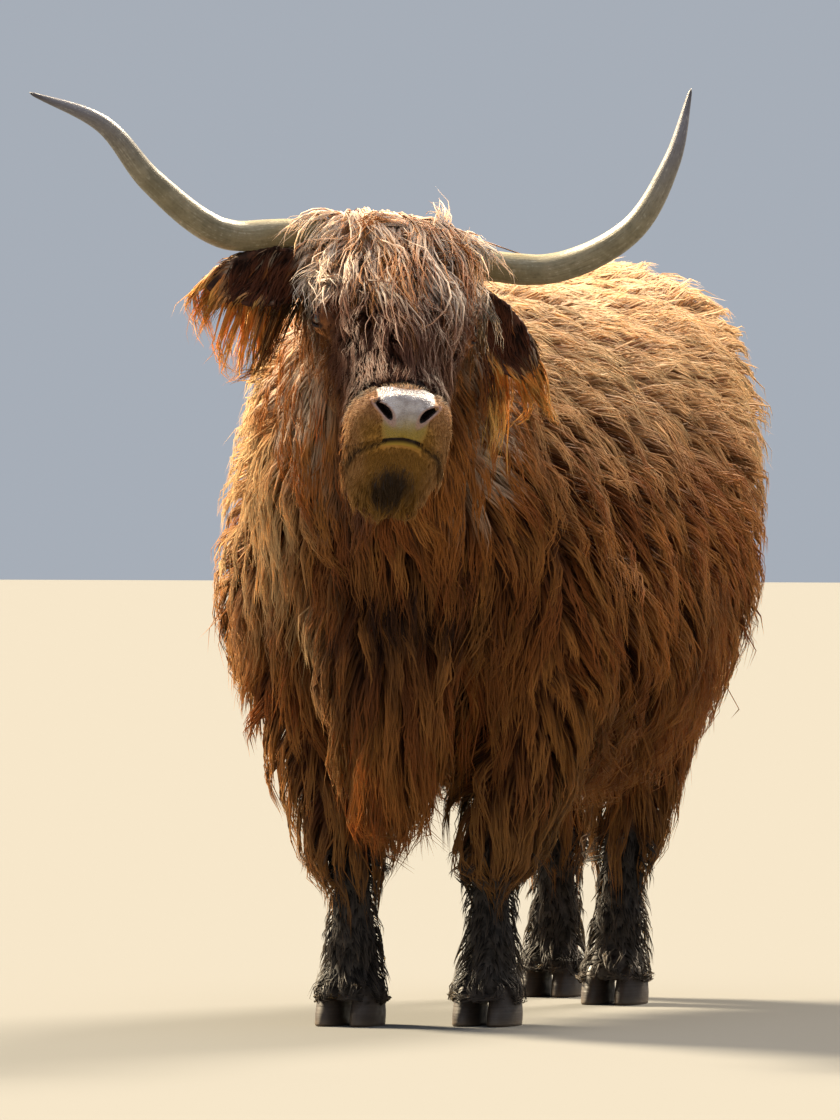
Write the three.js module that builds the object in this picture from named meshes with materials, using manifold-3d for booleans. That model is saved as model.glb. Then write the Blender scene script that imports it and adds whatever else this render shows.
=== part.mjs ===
// A life-size highland cow, standing square with its head turned to its left and held level.
// Millimetres. +X is the cow's left, -Y the way it faces and +Z up; it stands on z = 0.
// The solids are the outline of the animal in full winter coat, out to the tips of the hair.
// Each form is a loft over a few stations: rings of named half sizes along one axis.
import * as THREE from 'three';
import Module from 'manifold-3d';
import { mergeVertices } from 'three/addons/utils/BufferGeometryUtils.js';

const wasm = await Module();
wasm.setup();

// ---------- driving dimensions ----------
const GAP = 0.35;             // clearance between neighbouring pieces
const BACK_TOP = 1168;        // top of the coat over the loin
const RUMP_TOP = 1196;        // top of the coat over the hips
const BARREL_HALF = 380;      // half width of the barrel, coat included
const BELLY_HEM = 345;        // lowest hair under the belly
const THROAT_Y = -500;        // front end of the neck
const BUTTOCK_Y = 1130;       // back of the thighs
const BODY_LENGTH = BUTTOCK_Y - THROAT_Y;

const POLL = [86, -400, 1188];            // midway between the horn roots
const HEAD_YAW = 25;                      // degrees, turned to the cow's left
const HEAD_PITCH = 31;                    // nose below the poll
const HEAD_ROLL = 7;                      // left ear lower than the right
const HEAD_LENGTH = 452;                  // poll to the front of the nose
const EYE_RADIUS = 19;
const HORN_RADIUS = 25;                   // at the root
const EYE = [106, -158, -42];             // left eye's centre in the head's frame

const FORE_FOOT = { left: [110, 20], right: [-92, -40] };   // where each hoof stands
const HIND_FOOT = { left: [88, 760], right: [-88, 985] };
const SHOULDER = [225, 30];               // middle of the upper foreleg at the shoulder
const HIP = [180, 860];                   // middle of the thigh at the hip
const HOOF_HEIGHT = 62;
const SLEEVE_HEM = 205;                   // where the long hair of the upper legs ends

// ---------- materials ----------
const finish = (color, roughness = 0.8) =>
  new THREE.MeshStandardMaterial({ color, roughness, metalness: 0 });
const COAT = finish(0x9a5a28);
const COAT_DARK = finish(0x2e2420, 0.85);
const FACE = finish(0x7a4a30);
const FRINGE = finish(0xb9722c);
const HORN = finish(0x9b9284, 0.4);
const HOOF = finish(0x2b2724, 0.5);
const EYE_BALL = finish(0x140c08, 0.1);

// ---------- lofting ----------
// What a station may leave out.
const PLAIN = { x: 0, mid: 0, square: 2.2, pinch: 0 };
const KEYS = ['x', 'mid', 'wide', 'over', 'under', 'square', 'pinch'];
const END_BIAS = 0.75;        // 0 spaces a loft's rings evenly, 1 crowds them towards its ends
const POINTED = 1e-6;         // a ring shrunk below this is only its pole

// Where (u, v) of a ring at `at` along the form's axis lies in space.
const foreAndAft = (at, u, v) => [u, at, v];       // rings stand upright, the axis is Y
const upright = (at, u, v) => [u, v, at];          // rings lie flat, the axis is Z

// The ring's outline at an angle: a superellipse with its own size above and below the middle.
// pinch narrows the side above the middle and widens the one below.
function ringPoint(s, angle, grow) {
  const soft = (value) => Math.sign(value) * Math.abs(value) ** (2 / s.square);
  const c = soft(Math.cos(angle));
  const n = soft(Math.sin(angle));
  const side = (s.wide + grow) * (1 - s.pinch * n);
  return [s.x + c * side, s.mid + n * ((n > 0 ? s.over : s.under) + grow)];
}

// A closed mesh from a grid of rings and the pole at each end.
function closedSurface(rings, startPole, endPole) {
  const around = rings[0].length;
  const points = [...rings.flat(), startPole, endPole];
  const start = rings.length * around;
  const faces = [];
  for (let j = 0; j < around; j++) {
    const next = (j + 1) % around;
    faces.push(start, next, j);
    for (let i = 0; i + 1 < rings.length; i++) {
      const a = i * around;
      const b = a + around;
      faces.push(a + j, a + next, b + j, a + next, b + next, b + j);
    }
    const last = (rings.length - 1) * around;
    faces.push(last + j, last + next, start + 1);
  }
  const geometry = new THREE.BufferGeometry();
  geometry.setAttribute('position', new THREE.Float32BufferAttribute(points.flat(), 3));
  geometry.setIndex(faces);
  return geometry;
}

// Lofts a closed form over stations, each {at, wide, over, under, ...PLAIN}, in rising order of at.
// round is how far from each end the rings close down into a dome; an end with none is flat.
function loft(stations, { place = foreAndAft, along = 12, around = 20, round = [0, 0], grow = 0 } = {}) {
  const full = stations.map((s) => ({ ...PLAIN, ...s }));
  const values = full.flatMap((s) => KEYS.map((key) => s[key]));
  const curve = new THREE.CubicInterpolant(full.map((s) => s.at), values, KEYS.length);
  const first = full[0].at;
  const length = full[full.length - 1].at - first;
  const station = (at) => {
    const found = curve.evaluate(THREE.MathUtils.clamp(at, first, first + length));
    return Object.fromEntries(KEYS.map((key, i) => [key, found[i]]));
  };
  const dome = (distance, depth) => (distance < depth ? Math.sqrt(1 - (1 - distance / depth) ** 2) : 1);
  const rings = [];
  for (let i = 0; i <= along; i++) {
    const t = THREE.MathUtils.lerp(i / along, (1 - Math.cos(Math.PI * i / along)) / 2, END_BIAS);
    const shrink = dome(t * length, round[0]) * dome((1 - t) * length, round[1]);
    if (shrink < POINTED) continue;
    const s = station(first + t * length);
    for (const key of ['wide', 'over', 'under']) s[key] *= shrink;
    const at = first - grow + t * (length + 2 * grow);
    const angles = Array.from({ length: around }, (_, j) => 2 * Math.PI * j / around);
    rings.push(angles.map((angle) => place(at, ...ringPoint(s, angle, grow))));
  }
  const pole = (at, edge) => {
    const s = station(at);
    return place(at + edge * grow, s.x, s.mid);
  };
  const geometry = closedSurface(rings, pole(first, -1), pole(first + length, 1));
  // Rings that lie flat run the other way round, so their faces are turned to point out.
  if (place === foreAndAft) geometry.index.array.reverse();
  return geometry;
}

// A tapering tube along a curve through points; radius(t) gives its size from t = 0 to 1.
function taperedTube(points, radius, { along = 13, around = 10, grow = 0 } = {}) {
  const curve = new THREE.CatmullRomCurve3(points.map((p) => new THREE.Vector3(...p)));
  const frames = curve.computeFrenetFrames(along);
  const rings = [];
  for (let i = 0; i <= along; i++) {
    const centre = curve.getPointAt(i / along);
    const size = radius(i / along) + grow;
    rings.push(Array.from({ length: around }, (_, j) => {
      const angle = 2 * Math.PI * j / around;
      return centre.clone()
        .addScaledVector(frames.normals[i], size * Math.cos(angle))
        .addScaledVector(frames.binormals[i], size * Math.sin(angle)).toArray();
    }));
  }
  const tip = curve.getPointAt(1).addScaledVector(frames.tangents[along], radius(1) + grow).toArray();
  return closedSurface(rings, curve.getPointAt(0).toArray(), tip);
}

const ball = (radius, centre) => new THREE.SphereGeometry(radius, 11, 8).translate(...centre);

// ---------- the scene graph ----------
const cow = new THREE.Group();

function part(name, geometry, material, parent = cow) {
  const mesh = new THREE.Mesh(geometry, material);
  mesh.name = name;
  parent.add(mesh);
  return mesh;
}

// ---------- solids ----------
const identity = new THREE.Matrix4();

function solidOf(geometry, matrix = identity) {
  const bare = geometry.clone().applyMatrix4(matrix);
  bare.deleteAttribute('normal');
  bare.deleteAttribute('uv');
  const merged = mergeVertices(bare, 1e-3);
  return new wasm.Manifold(new wasm.Mesh({
    numProp: 3,
    vertProperties: merged.attributes.position.array,
    triVerts: withoutFlat(merged.index.array),
  }));
}

// Drops the triangles that merging has closed up, such as those at a sphere's poles.
function withoutFlat(index) {
  const kept = [];
  for (let i = 0; i < index.length; i += 3) {
    const [a, b, c] = index.slice(i, i + 3);
    if (a !== b && b !== c && c !== a) kept.push(a, b, c);
  }
  return new Uint32Array(kept);
}

function geometryOf(solid) {
  const mesh = solid.getMesh();
  const geometry = new THREE.BufferGeometry();
  geometry.setAttribute('position', new THREE.BufferAttribute(mesh.vertProperties, mesh.numProp));
  geometry.setIndex(new THREE.BufferAttribute(mesh.triVerts, 1));
  geometry.computeVertexNormals();
  return geometry;
}

const largest = (solid) => solid.decompose().sort((a, b) => b.volume() - a.volume())[0];

// Cuts a mesh by its neighbours' grown solids, which are in the cow's frame, and keeps the main body.
function carve(mesh, ...tools) {
  cow.updateMatrixWorld(true);
  let solid = solidOf(mesh.geometry, mesh.matrixWorld);
  for (const tool of tools) solid = solid.subtract(tool);
  mesh.geometry = geometryOf(largest(solid)).applyMatrix4(mesh.matrixWorld.clone().invert());
}

// ---------- neck and trunk ----------
// One form from throat to buttocks. at is a share of its length, wide of its greatest half width.
const BODY = [
  { at: 0.000, x: 104, mid: 1040, wide: 0.30, top: 1150, hem: 880 },
  { at: 0.043, x: 80, mid: 1020, wide: 0.40, top: 1188, hem: 820 },
  { at: 0.104, x: 48, mid: 975, wide: 0.51, top: 1198, hem: 720, pinch: 0.05 },
  { at: 0.178, x: 20, mid: 900, wide: 0.62, top: 1190, hem: 590, pinch: 0.10 },
  { at: 0.252, x: 4, mid: 780, wide: 0.79, top: 1178, hem: 500, pinch: 0.15 },
  { at: 0.325, x: 0, mid: 705, wide: 0.90, top: 1172, hem: 440, pinch: 0.14 },
  { at: 0.454, x: 0, mid: 680, wide: 0.975, top: 1170, hem: 380, pinch: 0.05 },
  { at: 0.589, x: 0, mid: 710, wide: 1.00, top: BACK_TOP, hem: BELLY_HEM },
  { at: 0.730, x: 0, mid: 800, wide: 0.955, top: BACK_TOP + 14, hem: BELLY_HEM + 15 },
  { at: 0.847, x: 0, mid: 860, wide: 0.81, top: RUMP_TOP, hem: 440, pinch: -0.05 },
  { at: 0.933, x: 0, mid: 880, wide: 0.68, top: RUMP_TOP - 18, hem: 540, pinch: -0.05 },
  { at: 1.000, x: 0, mid: 890, wide: 0.52, top: RUMP_TOP - 80, hem: 610 },
].map((s) => ({
  ...s,
  at: THROAT_Y + s.at * BODY_LENGTH,
  wide: s.wide * BARREL_HALF,
  over: s.top - s.mid,
  under: s.mid - s.hem,
  square: 2.3,
}));
const bodyForm = (grow) => loft(BODY, { along: 21, around: 22, round: [60, 130], grow });

// The neck is parted from the trunk by a thin cut from the withers down to the point of the shoulder.
const COLLAR = { y: -150, z: 860, lean: 18, tall: 1000 };
function partBody() {
  const cut = new THREE.BoxGeometry(3 * BARREL_HALF, GAP, COLLAR.tall)
    .rotateX(THREE.MathUtils.degToRad(-COLLAR.lean))
    .translate(0, COLLAR.y, COLLAR.z);
  return solidOf(bodyForm(0)).subtract(solidOf(cut)).decompose().sort((a, b) => b.volume() - a.volume());
}
const [trunkSolid, neckSolid] = partBody();
part('trunk', geometryOf(trunkSolid), COAT);
const neck = part('neck', geometryOf(neckSolid), COAT);
const bodyTool = solidOf(bodyForm(GAP));

// ---------- brisket ----------
// The brisket's hair hangs between the forelegs like a bib.
const BRISKET = [
  { at: 280, x: 20, mid: -190, wide: 50, over: 70, under: 48 },
  { at: 350, x: 18, mid: -195, wide: 78, over: 95, under: 72 },
  { at: 450, x: 15, mid: -200, wide: 98, over: 110, under: 88 },
  { at: 600, x: 12, mid: -195, wide: 132, over: 120, under: 110 },
  { at: 740, x: 12, mid: -185, wide: 140, over: 120, under: 90 },
  { at: 840, x: 12, mid: -185, wide: 110, over: 90, under: 60 },
];
const brisketForm = loft(BRISKET, { place: upright, along: 9, around: 18, round: [45, 40] });
const brisket = part('brisket', brisketForm, COAT);

// ---------- head ----------
const head = new THREE.Group();
head.position.set(...POLL);
head.rotation.set(...[HEAD_PITCH, HEAD_ROLL, HEAD_YAW].map(THREE.MathUtils.degToRad), 'ZXY');
cow.add(head);
cow.updateMatrixWorld(true);
const headMatrix = head.matrixWorld.clone();
const inHead = (geometry) => solidOf(geometry, headMatrix);

// In the head's own frame -Y runs from the poll to the nose and +Z out of the forehead.
// at is a share of the head's length from the nose back; top and jaw are heights.
// The muzzle lies a little to the right of the head's middle line.
const MUZZLE_SWING = 14;
const swing = (y) => -MUZZLE_SWING * THREE.MathUtils.smoothstep(-y, 235, 400);
const SKULL = [
  { at: 0.00, wide: 60, mid: -62, top: -20, jaw: -130, pinch: 0.08 },
  { at: 0.06, wide: 76, mid: -64, top: -6, jaw: -204, pinch: 0.08 },
  { at: 0.16, wide: 82, mid: -66, top: 2, jaw: -230, pinch: 0.08 },
  { at: 0.28, wide: 79, mid: -66, top: 10, jaw: -216, pinch: 0.06 },
  { at: 0.42, wide: 90, mid: -68, top: 20, jaw: -196, pinch: 0.08 },
  { at: 0.56, wide: 106, mid: -66, top: 34, jaw: -204, pinch: 0.04 },
  { at: 0.68, wide: 118, mid: -60, top: 46, jaw: -214, pinch: -0.02 },
  { at: 0.84, wide: 118, mid: -60, top: 54, jaw: -206, pinch: 0.00 },
  { at: 1.00, wide: 106, mid: -50, top: 52, jaw: -165, pinch: 0.00 },
  { at: 1.14, wide: 70, mid: -40, top: 26, jaw: -110, pinch: 0.00 },
].map((s) => ({
  at: (s.at - 1) * HEAD_LENGTH,
  x: swing((s.at - 1) * HEAD_LENGTH),
  mid: s.mid,
  wide: s.wide,
  over: s.top - s.mid,
  under: s.mid - s.jaw,
  square: 2.3,
  pinch: s.pinch,
}));
const skullForm = (grow) => loft(SKULL, { along: 15, around: 18, round: [34, 60], grow });
const skull = part('head', skullForm(0), FACE, head);

// Eyes sit in sockets cut into the skull.
const SIDES = { left: 1, right: -1 };
const eyeTools = [];
for (const [side, sign] of Object.entries(SIDES)) {
  const centre = [sign * EYE[0], EYE[1], EYE[2]];
  part('eye_' + side, ball(EYE_RADIUS, centre), EYE_BALL, head);
  eyeTools.push(inHead(ball(EYE_RADIUS + GAP, centre)));
}

// Nostrils are shallow slanted hollows in the front of the muzzle, set in a little from its tip.
const NOSTRIL = { size: [15, 20, 7], out: 34, inset: 12, z: -29, slant: 32 };
const nostrilTools = Object.values(SIDES).map((sign) => {
  const hollow = new THREE.SphereGeometry(1, 9, 6)
    .scale(...NOSTRIL.size)
    .rotateY(THREE.MathUtils.degToRad(sign * NOSTRIL.slant))
    .translate(sign * NOSTRIL.out - MUZZLE_SWING, NOSTRIL.inset - HEAD_LENGTH, NOSTRIL.z);
  return inHead(hollow);
});

// The mouth is a thin slit, rising towards the nose, that parts the lower jaw from the head.
const MOUTH = {
  corner: [-250, -138], bend: [-420, -125], front: [-492, -28], slit: 1.2, wide: 260, deep: 160,
};
function mouthSlit() {
  const { corner, bend, front, slit } = MOUTH;
  const outline = new THREE.Shape();
  outline.moveTo(corner[0], corner[1]);
  outline.quadraticCurveTo(bend[0], bend[1], front[0], front[1]);
  outline.lineTo(front[0] + slit, front[1] + slit);
  outline.quadraticCurveTo(bend[0] + slit, bend[1] + slit, corner[0], corner[1] + slit);
  // Drawn in (y, z) and extruded across the muzzle along X.
  const acrossX = new THREE.Matrix4().set(0, 0, 1, 0, 1, 0, 0, 0, 0, 1, 0, 0, 0, 0, 0, 1);
  return new THREE.ExtrudeGeometry(outline, { depth: MOUTH.wide, bevelEnabled: false, curveSegments: 6 })
    .translate(0, 0, -MOUTH.wide / 2)
    .applyMatrix4(acrossX);
}
// Behind the corner of the mouth the jaw is parted by a wall that runs down to its underside.
const jawWall = new THREE.BoxGeometry(MOUTH.wide, MOUTH.slit, MOUTH.deep)
  .translate(0, MOUTH.corner[0], MOUTH.corner[1] + MOUTH.slit - MOUTH.deep / 2);

// ---------- horns ----------
// Each runs from the poll out, forward and up, in a frame turned with the head but not tilted.
const hornYaw = new THREE.Group();
hornYaw.position.set(...POLL);
hornYaw.rotation.z = THREE.MathUtils.degToRad(HEAD_YAW);
cow.add(hornYaw);
cow.updateMatrixWorld(true);
const HORN_PATHS = {
  left: [
    [60, 0, -4], [150, -12, -26], [250, -45, -29],
    [356, -85, 27], [415, -90, 126], [450, -62, 240],
  ],
  right: [
    [-60, 0, 16], [-155, -12, 20], [-258, -40, 22],
    [-366, -75, 98], [-440, -85, 182], [-548, -60, 230],
  ],
};
// Nearly even for half its length, then drawn out to a point.
const hornRadius = (t) => HORN_RADIUS * (1 - 0.28 * t ** 1.3 - 0.62 * t ** 4);
const hornTools = [];
for (const [side, path] of Object.entries(HORN_PATHS)) {
  part('horn_' + side, taperedTube(path, hornRadius), HORN, hornYaw);
  hornTools.push(solidOf(taperedTube(path, hornRadius, { grow: GAP }), hornYaw.matrixWorld));
}

// ---------- ears ----------
// An ear is a leaf along its own axis, with a curtain of long hair under its lower edge.
const EAR = { length: 192, wide: 56, thick: 17, fringe: 135 };
const EAR_POSE = {
  left: { at: [112, -42, -42], droop: 42 },
  right: { at: [-110, -34, -32], droop: 14 },
};
const EAR_LEAF = [
  { at: 0.00, wide: 0.55, thick: 1.2 },
  { at: 0.25, wide: 0.90, thick: 1.1 },
  { at: 0.55, wide: 1.00, thick: 0.9 },
  { at: 0.85, wide: 0.66, thick: 0.6 },
  { at: 1.00, wide: 0.30, thick: 0.4 },
];
const EAR_FRINGE = [
  { at: -1.0, wide: 0.24, thick: 0.35, drift: 0.66 },
  { at: -0.55, wide: 0.64, thick: 0.55, drift: 0.68 },
  { at: 0.0, wide: 0.82, thick: 0.75, drift: 0.60 },
];
function earForm(sign, grow) {
  // The leaf is lofted upright and laid over so that it points out from the head.
  const leaf = loft(EAR_LEAF.map((s) => ({
    at: s.at * EAR.length,
    wide: s.wide * EAR.wide,
    over: s.thick * EAR.thick,
    under: s.thick * EAR.thick,
  })), { place: upright, along: 7, around: 12, round: [15, 40], grow }).rotateY(Math.PI / 2);
  // The fringe starts just under the leaf's own axis.
  const fringe = loft(EAR_FRINGE.map((s) => ({
    at: s.at * EAR.fringe - EAR.wide * 0.1,
    x: s.drift * EAR.length,
    wide: s.wide * EAR.length / 2,
    over: s.thick * EAR.thick,
    under: s.thick * EAR.thick,
  })), { place: upright, along: 6, around: 10, round: [20, 20], grow });
  const whole = geometryOf(solidOf(leaf).add(solidOf(fringe)));
  return sign > 0 ? whole : mirrored(whole);
}

// Mirrored in X, with its faces turned back to point out.
function mirrored(geometry) {
  const flipped = geometry.clone().scale(-1, 1, 1);
  flipped.index.array.reverse();
  return flipped;
}

const earTools = [];
for (const [side, sign] of Object.entries(SIDES)) {
  const pose = EAR_POSE[side];
  const ear = part('ear_' + side, earForm(sign, 0), FRINGE, head);
  ear.position.set(...pose.at);
  // Turning back by the head's pitch lets the fringe hang straight down.
  ear.rotation.set(THREE.MathUtils.degToRad(-HEAD_PITCH), THREE.MathUtils.degToRad(sign * pose.droop), 0);
  ear.updateMatrixWorld(true);
  earTools.push(solidOf(earForm(sign, GAP), ear.matrixWorld));
}

// ---------- forelock ----------
// The hair that hangs from the poll over the forehead and the eyes.
const FORELOCK = [
  { at: -335, mid: -20, wide: 36, over: 50, under: 30 },
  { at: -300, mid: -20, wide: 74, over: 62, under: 40 },
  { at: -255, mid: -20, wide: 96, over: 76, under: 55 },
  { at: -180, mid: -20, wide: 124, over: 90, under: 74 },
  { at: -90, mid: -14, wide: 148, over: 92, under: 76 },
  { at: -10, mid: -6, wide: 158, over: 82, under: 62 },
  { at: 60, mid: -10, wide: 120, over: 58, under: 40 },
];
const forelock = part('forelock', loft(FORELOCK, { along: 9, around: 14, round: [18, 50] }), FRINGE, head);

// ---------- legs ----------
// The sleeve is the upper leg in its long hair, the shank the lower leg in its short dark hair.
// share is how far a station has moved from over the foot (0) to under the shoulder or hip (1).
const FORE_SLEEVE = [
  { at: SLEEVE_HEM, share: 0.02, back: 4, wide: 54, over: 62, under: 58 },
  { at: 255, share: 0.07, back: 6, wide: 80, over: 88, under: 84 },
  { at: 330, share: 0.20, back: 10, wide: 100, over: 112, under: 102 },
  { at: 430, share: 0.44, back: 16, wide: 124, over: 132, under: 118 },
  { at: 500, share: 0.64, back: 14, wide: 128, over: 142, under: 122 },
  { at: 565, share: 0.70, back: 8, wide: 118, over: 138, under: 112 },
  { at: 615, share: 0.70, back: 4, wide: 96, over: 118, under: 90 },
  { at: 650, share: 0.70, back: 4, wide: 70, over: 90, under: 66 },
];
const HIND_SLEEVE = [
  { at: SLEEVE_HEM, share: 0.00, back: 12, wide: 54, over: 62, under: 60 },
  { at: 270, share: 0.05, back: 26, wide: 74, over: 80, under: 78 },
  { at: 370, share: 0.15, back: 50, wide: 92, over: 100, under: 98 },
  { at: 470, share: 0.38, back: 62, wide: 106, over: 122, under: 125 },
  { at: 560, share: 0.62, back: 50, wide: 112, over: 148, under: 152 },
  { at: 640, share: 0.72, back: 30, wide: 100, over: 146, under: 150 },
  { at: 710, share: 0.72, back: 20, wide: 70, over: 100, under: 110 },
];
const SHANK = [
  { at: 34, share: 0.0, wide: 56, over: 66, under: 70 },
  { at: 62, share: 0.0, wide: 56, over: 62, under: 66 },
  { at: 100, share: 0.1, wide: 50, over: 56, under: 52 },
  { at: 160, share: 0.35, wide: 43, over: 50, under: 42 },
  { at: 230, share: 0.65, wide: 43, over: 50, under: 42 },
  { at: 320, share: 1.0, wide: 46, over: 52, under: 46 },
];
// joint is the shoulder or the hip of that side.
function sleeveForm(stations, foot, joint, grow) {
  return loft(stations.map((s) => ({
    ...s,
    x: THREE.MathUtils.lerp(foot[0], joint[0], s.share),
    mid: THREE.MathUtils.lerp(foot[1], joint[1], s.share) + s.back,
  })), { place: upright, along: 8, around: 12, round: [30, 40], grow });
}
// lean is how far the shank's top stands behind its foot.
const shankForm = (foot, lean, grow) => loft(
  SHANK.map((s) => ({ ...s, x: foot[0], mid: foot[1] + s.share * lean })),
  { place: upright, along: 6, around: 12, round: [6, 20], grow },
);

// A claw is half a hoof: flat below, sloping in front.
const CLAW_APART = 27;        // from the middle of the foot to the middle of a claw
const CLAW = [
  { at: 0, wide: 23, over: 46, under: 68 },
  { at: 14, wide: 24, over: 47, under: 66 },
  { at: HOOF_HEIGHT, wide: 21, over: 40, under: 42 },
];
const clawForm = (foot, side, grow) => loft(
  CLAW.map((s) => ({ ...s, x: foot[0] + side * CLAW_APART, mid: foot[1], square: 2.6 })),
  { place: upright, along: 2, around: 12, grow },
);

const LEGS = [
  { name: 'fore', feet: FORE_FOOT, stations: FORE_SLEEVE, joint: SHOULDER, lean: 8 },
  { name: 'hind', feet: HIND_FOOT, stations: HIND_SLEEVE, joint: HIP, lean: 42 },
];
const sleeveTools = [];
const shankTools = [];
for (const { name, feet, stations, joint, lean } of LEGS) {
  for (const [side, foot] of Object.entries(feet)) {
    const sign = SIDES[side];
    const clawTools = [];
    for (const [which, towards] of [['inner', -sign], ['outer', sign]]) {
      part(`hoof_${name}_${side}_${which}`, clawForm(foot, towards, 0), HOOF);
      clawTools.push(solidOf(clawForm(foot, towards, GAP)));
    }
    const shankTool = solidOf(shankForm(foot, lean, GAP));
    const top = [sign * joint[0], joint[1]];
    carve(part(`leg_lower_${name}_${side}`, shankForm(foot, lean, 0), COAT_DARK), ...clawTools);
    carve(part(`leg_upper_${name}_${side}`, sleeveForm(stations, foot, top, 0), COAT), bodyTool, shankTool);
    sleeveTools.push(solidOf(sleeveForm(stations, foot, top, GAP)));
    shankTools.push(shankTool);
  }
}

// ---------- tail ----------
const TAIL_PATH = [
  [0, BUTTOCK_Y - 130, 1085], [0, BUTTOCK_Y - 30, 1108], [0, BUTTOCK_Y + 28, 1020],
  [0, BUTTOCK_Y + 34, 860], [0, BUTTOCK_Y + 28, 690],
];
const SWITCH = [
  { at: 190, mid: BUTTOCK_Y + 15, wide: 22, over: 22, under: 22 },
  { at: 300, mid: BUTTOCK_Y + 18, wide: 60, over: 52, under: 52 },
  { at: 440, mid: BUTTOCK_Y + 24, wide: 72, over: 60, under: 60 },
  { at: 600, mid: BUTTOCK_Y + 28, wide: 58, over: 48, under: 50 },
  { at: 740, mid: BUTTOCK_Y + 30, wide: 42, over: 36, under: 40 },
];
const tailForm = (grow) => taperedTube(TAIL_PATH, (t) => 42 - 8 * t, { along: 8, grow });
const switchForm = (grow) => loft(SWITCH, { place: upright, along: 8, around: 12, round: [30, 30], grow });
carve(part('tail_switch', switchForm(0), COAT), bodyTool, ...sleeveTools);
carve(part('tail', tailForm(0), COAT), bodyTool, solidOf(switchForm(GAP)), ...sleeveTools);

// ---------- parting neighbours ----------
const skullTool = inHead(skullForm(GAP));
carve(neck, skullTool, ...hornTools, ...earTools, ...eyeTools);
carve(brisket, bodyTool, ...sleeveTools, ...shankTools);
carve(forelock, skullTool, bodyTool, ...hornTools, ...earTools, ...eyeTools);
for (const side of Object.keys(SIDES)) {
  carve(head.getObjectByName('ear_' + side), skullTool, ...hornTools);
  carve(hornYaw.getObjectByName('horn_' + side), skullTool);
}

// The head and its lower jaw come from one solid, parted by the mouth.
function partHead() {
  let solid = inHead(skull.geometry).subtract(inHead(mouthSlit())).subtract(inHead(jawWall));
  for (const tool of [...eyeTools, ...nostrilTools]) solid = solid.subtract(tool);
  const [upper, lower] = solid.decompose().sort((a, b) => b.volume() - a.volume());
  const toHead = headMatrix.clone().invert();
  skull.geometry = geometryOf(upper).applyMatrix4(toHead);
  part('jaw_lower', geometryOf(lower).applyMatrix4(toHead), FACE, head);
}
partHead();

// ---------- the origin, under the middle of the whole outline ----------
const reach = new THREE.Box3().setFromObject(cow, true);
const middle = reach.getCenter(new THREE.Vector3());
cow.position.set(-middle.x, -middle.y, 0);

export default cow;
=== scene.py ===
"""A life-size highland cow in its winter coat.

One skin stands for all the flesh, with horns, hooves and eyes of their own. The coat is solid
locks that grow from the skin, lie along it and hang from it. Shapes are worked out in the cow's
own millimetres (x to its left, y towards its tail, z up) and turned into the frame's metres last.
"""

import math
from itertools import product

import bmesh
import bpy
import numpy as np
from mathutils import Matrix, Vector
from mathutils.kdtree import KDTree


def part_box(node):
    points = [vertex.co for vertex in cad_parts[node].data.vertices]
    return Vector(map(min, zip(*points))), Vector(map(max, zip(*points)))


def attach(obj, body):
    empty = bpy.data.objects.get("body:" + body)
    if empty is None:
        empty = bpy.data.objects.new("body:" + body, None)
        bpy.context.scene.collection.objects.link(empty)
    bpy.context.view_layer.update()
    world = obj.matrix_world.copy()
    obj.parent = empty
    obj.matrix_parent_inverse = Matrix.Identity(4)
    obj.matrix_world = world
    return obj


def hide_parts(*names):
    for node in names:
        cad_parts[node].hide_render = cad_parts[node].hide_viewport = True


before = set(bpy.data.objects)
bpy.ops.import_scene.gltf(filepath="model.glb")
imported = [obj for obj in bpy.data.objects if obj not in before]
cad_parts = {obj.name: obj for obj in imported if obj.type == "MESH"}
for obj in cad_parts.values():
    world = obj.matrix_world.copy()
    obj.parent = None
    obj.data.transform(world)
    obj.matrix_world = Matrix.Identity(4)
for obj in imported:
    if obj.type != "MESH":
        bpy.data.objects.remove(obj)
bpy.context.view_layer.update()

# ---------------------------------------------------------------- the cow's frame
# The frame may stand elsewhere than the cow's own zero. One claw, whose place is known, tells how far.
CLAW_MIDDLE = np.array([137.0, 9.0])
SHIFT = np.zeros(3)
SHIFT[:2] = 500 * np.sum(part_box("hoof_fore_left_outer"), axis=0)[:2] - CLAW_MIDDLE
SIDES = {1: "left", -1: "right"}


def to_frame(p):
    return (p + SHIFT) * 0.001


def turn(axis, degrees):
    c, s = math.cos(math.radians(degrees)), math.sin(math.radians(degrees))
    rows = {
        "x": [[1, 0, 0], [0, c, -s], [0, s, c]],
        "y": [[c, 0, s], [0, 1, 0], [-s, 0, c]],
        "z": [[c, -s, 0], [s, c, 0], [0, 0, 1]],
    }
    return np.array(rows[axis])


def unit(v):
    return v / np.maximum(np.linalg.norm(v, axis=-1, keepdims=True), 1e-9)


def ramp(x, low, high):
    """0 below low, 1 above high (or the other way round), smooth between."""
    t = np.clip((x - low) / (high - low), 0, 1)
    return t * t * (3 - 2 * t)


def bell(x, middle, width):
    return np.exp(-(((x - middle) / width) ** 2))


def mix(a, b, t):
    return a + (b - a) * t


# ---------------------------------------------------------------- dimensions
# The head's frame starts at the poll: x to the cow's left, y back from the nose, z up from the brow.
THROAT_Y, BODY_LENGTH, BARREL_HALF = -500, 1630, 380
POLL = np.array([86.0, -400.0, 1188.0])
YAW, PITCH, ROLL = 25, 31, 7              # how the head is turned, nods and tilts
HEAD_LENGTH = 452
EYE = np.array([106.0, -158.0, -42.0])
EYE_RADIUS = 19.0
HEAD_TURN = turn("z", YAW) @ turn("x", PITCH) @ turn("y", ROLL)
HORN_TURN = turn("z", YAW)
FEET = {
    ("fore", 1): (110, 20), ("fore", -1): (-92, -40),
    ("hind", 1): (88, 760), ("hind", -1): (-88, 985),
}
JOINTS = {"fore": (225, 30), "hind": (180, 860)}      # where each pair of legs meets the body
LEAN = {"fore": 8, "hind": 42}                        # how far back the lower leg leans


def head_local(p):
    return (p - POLL) @ HEAD_TURN


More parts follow.
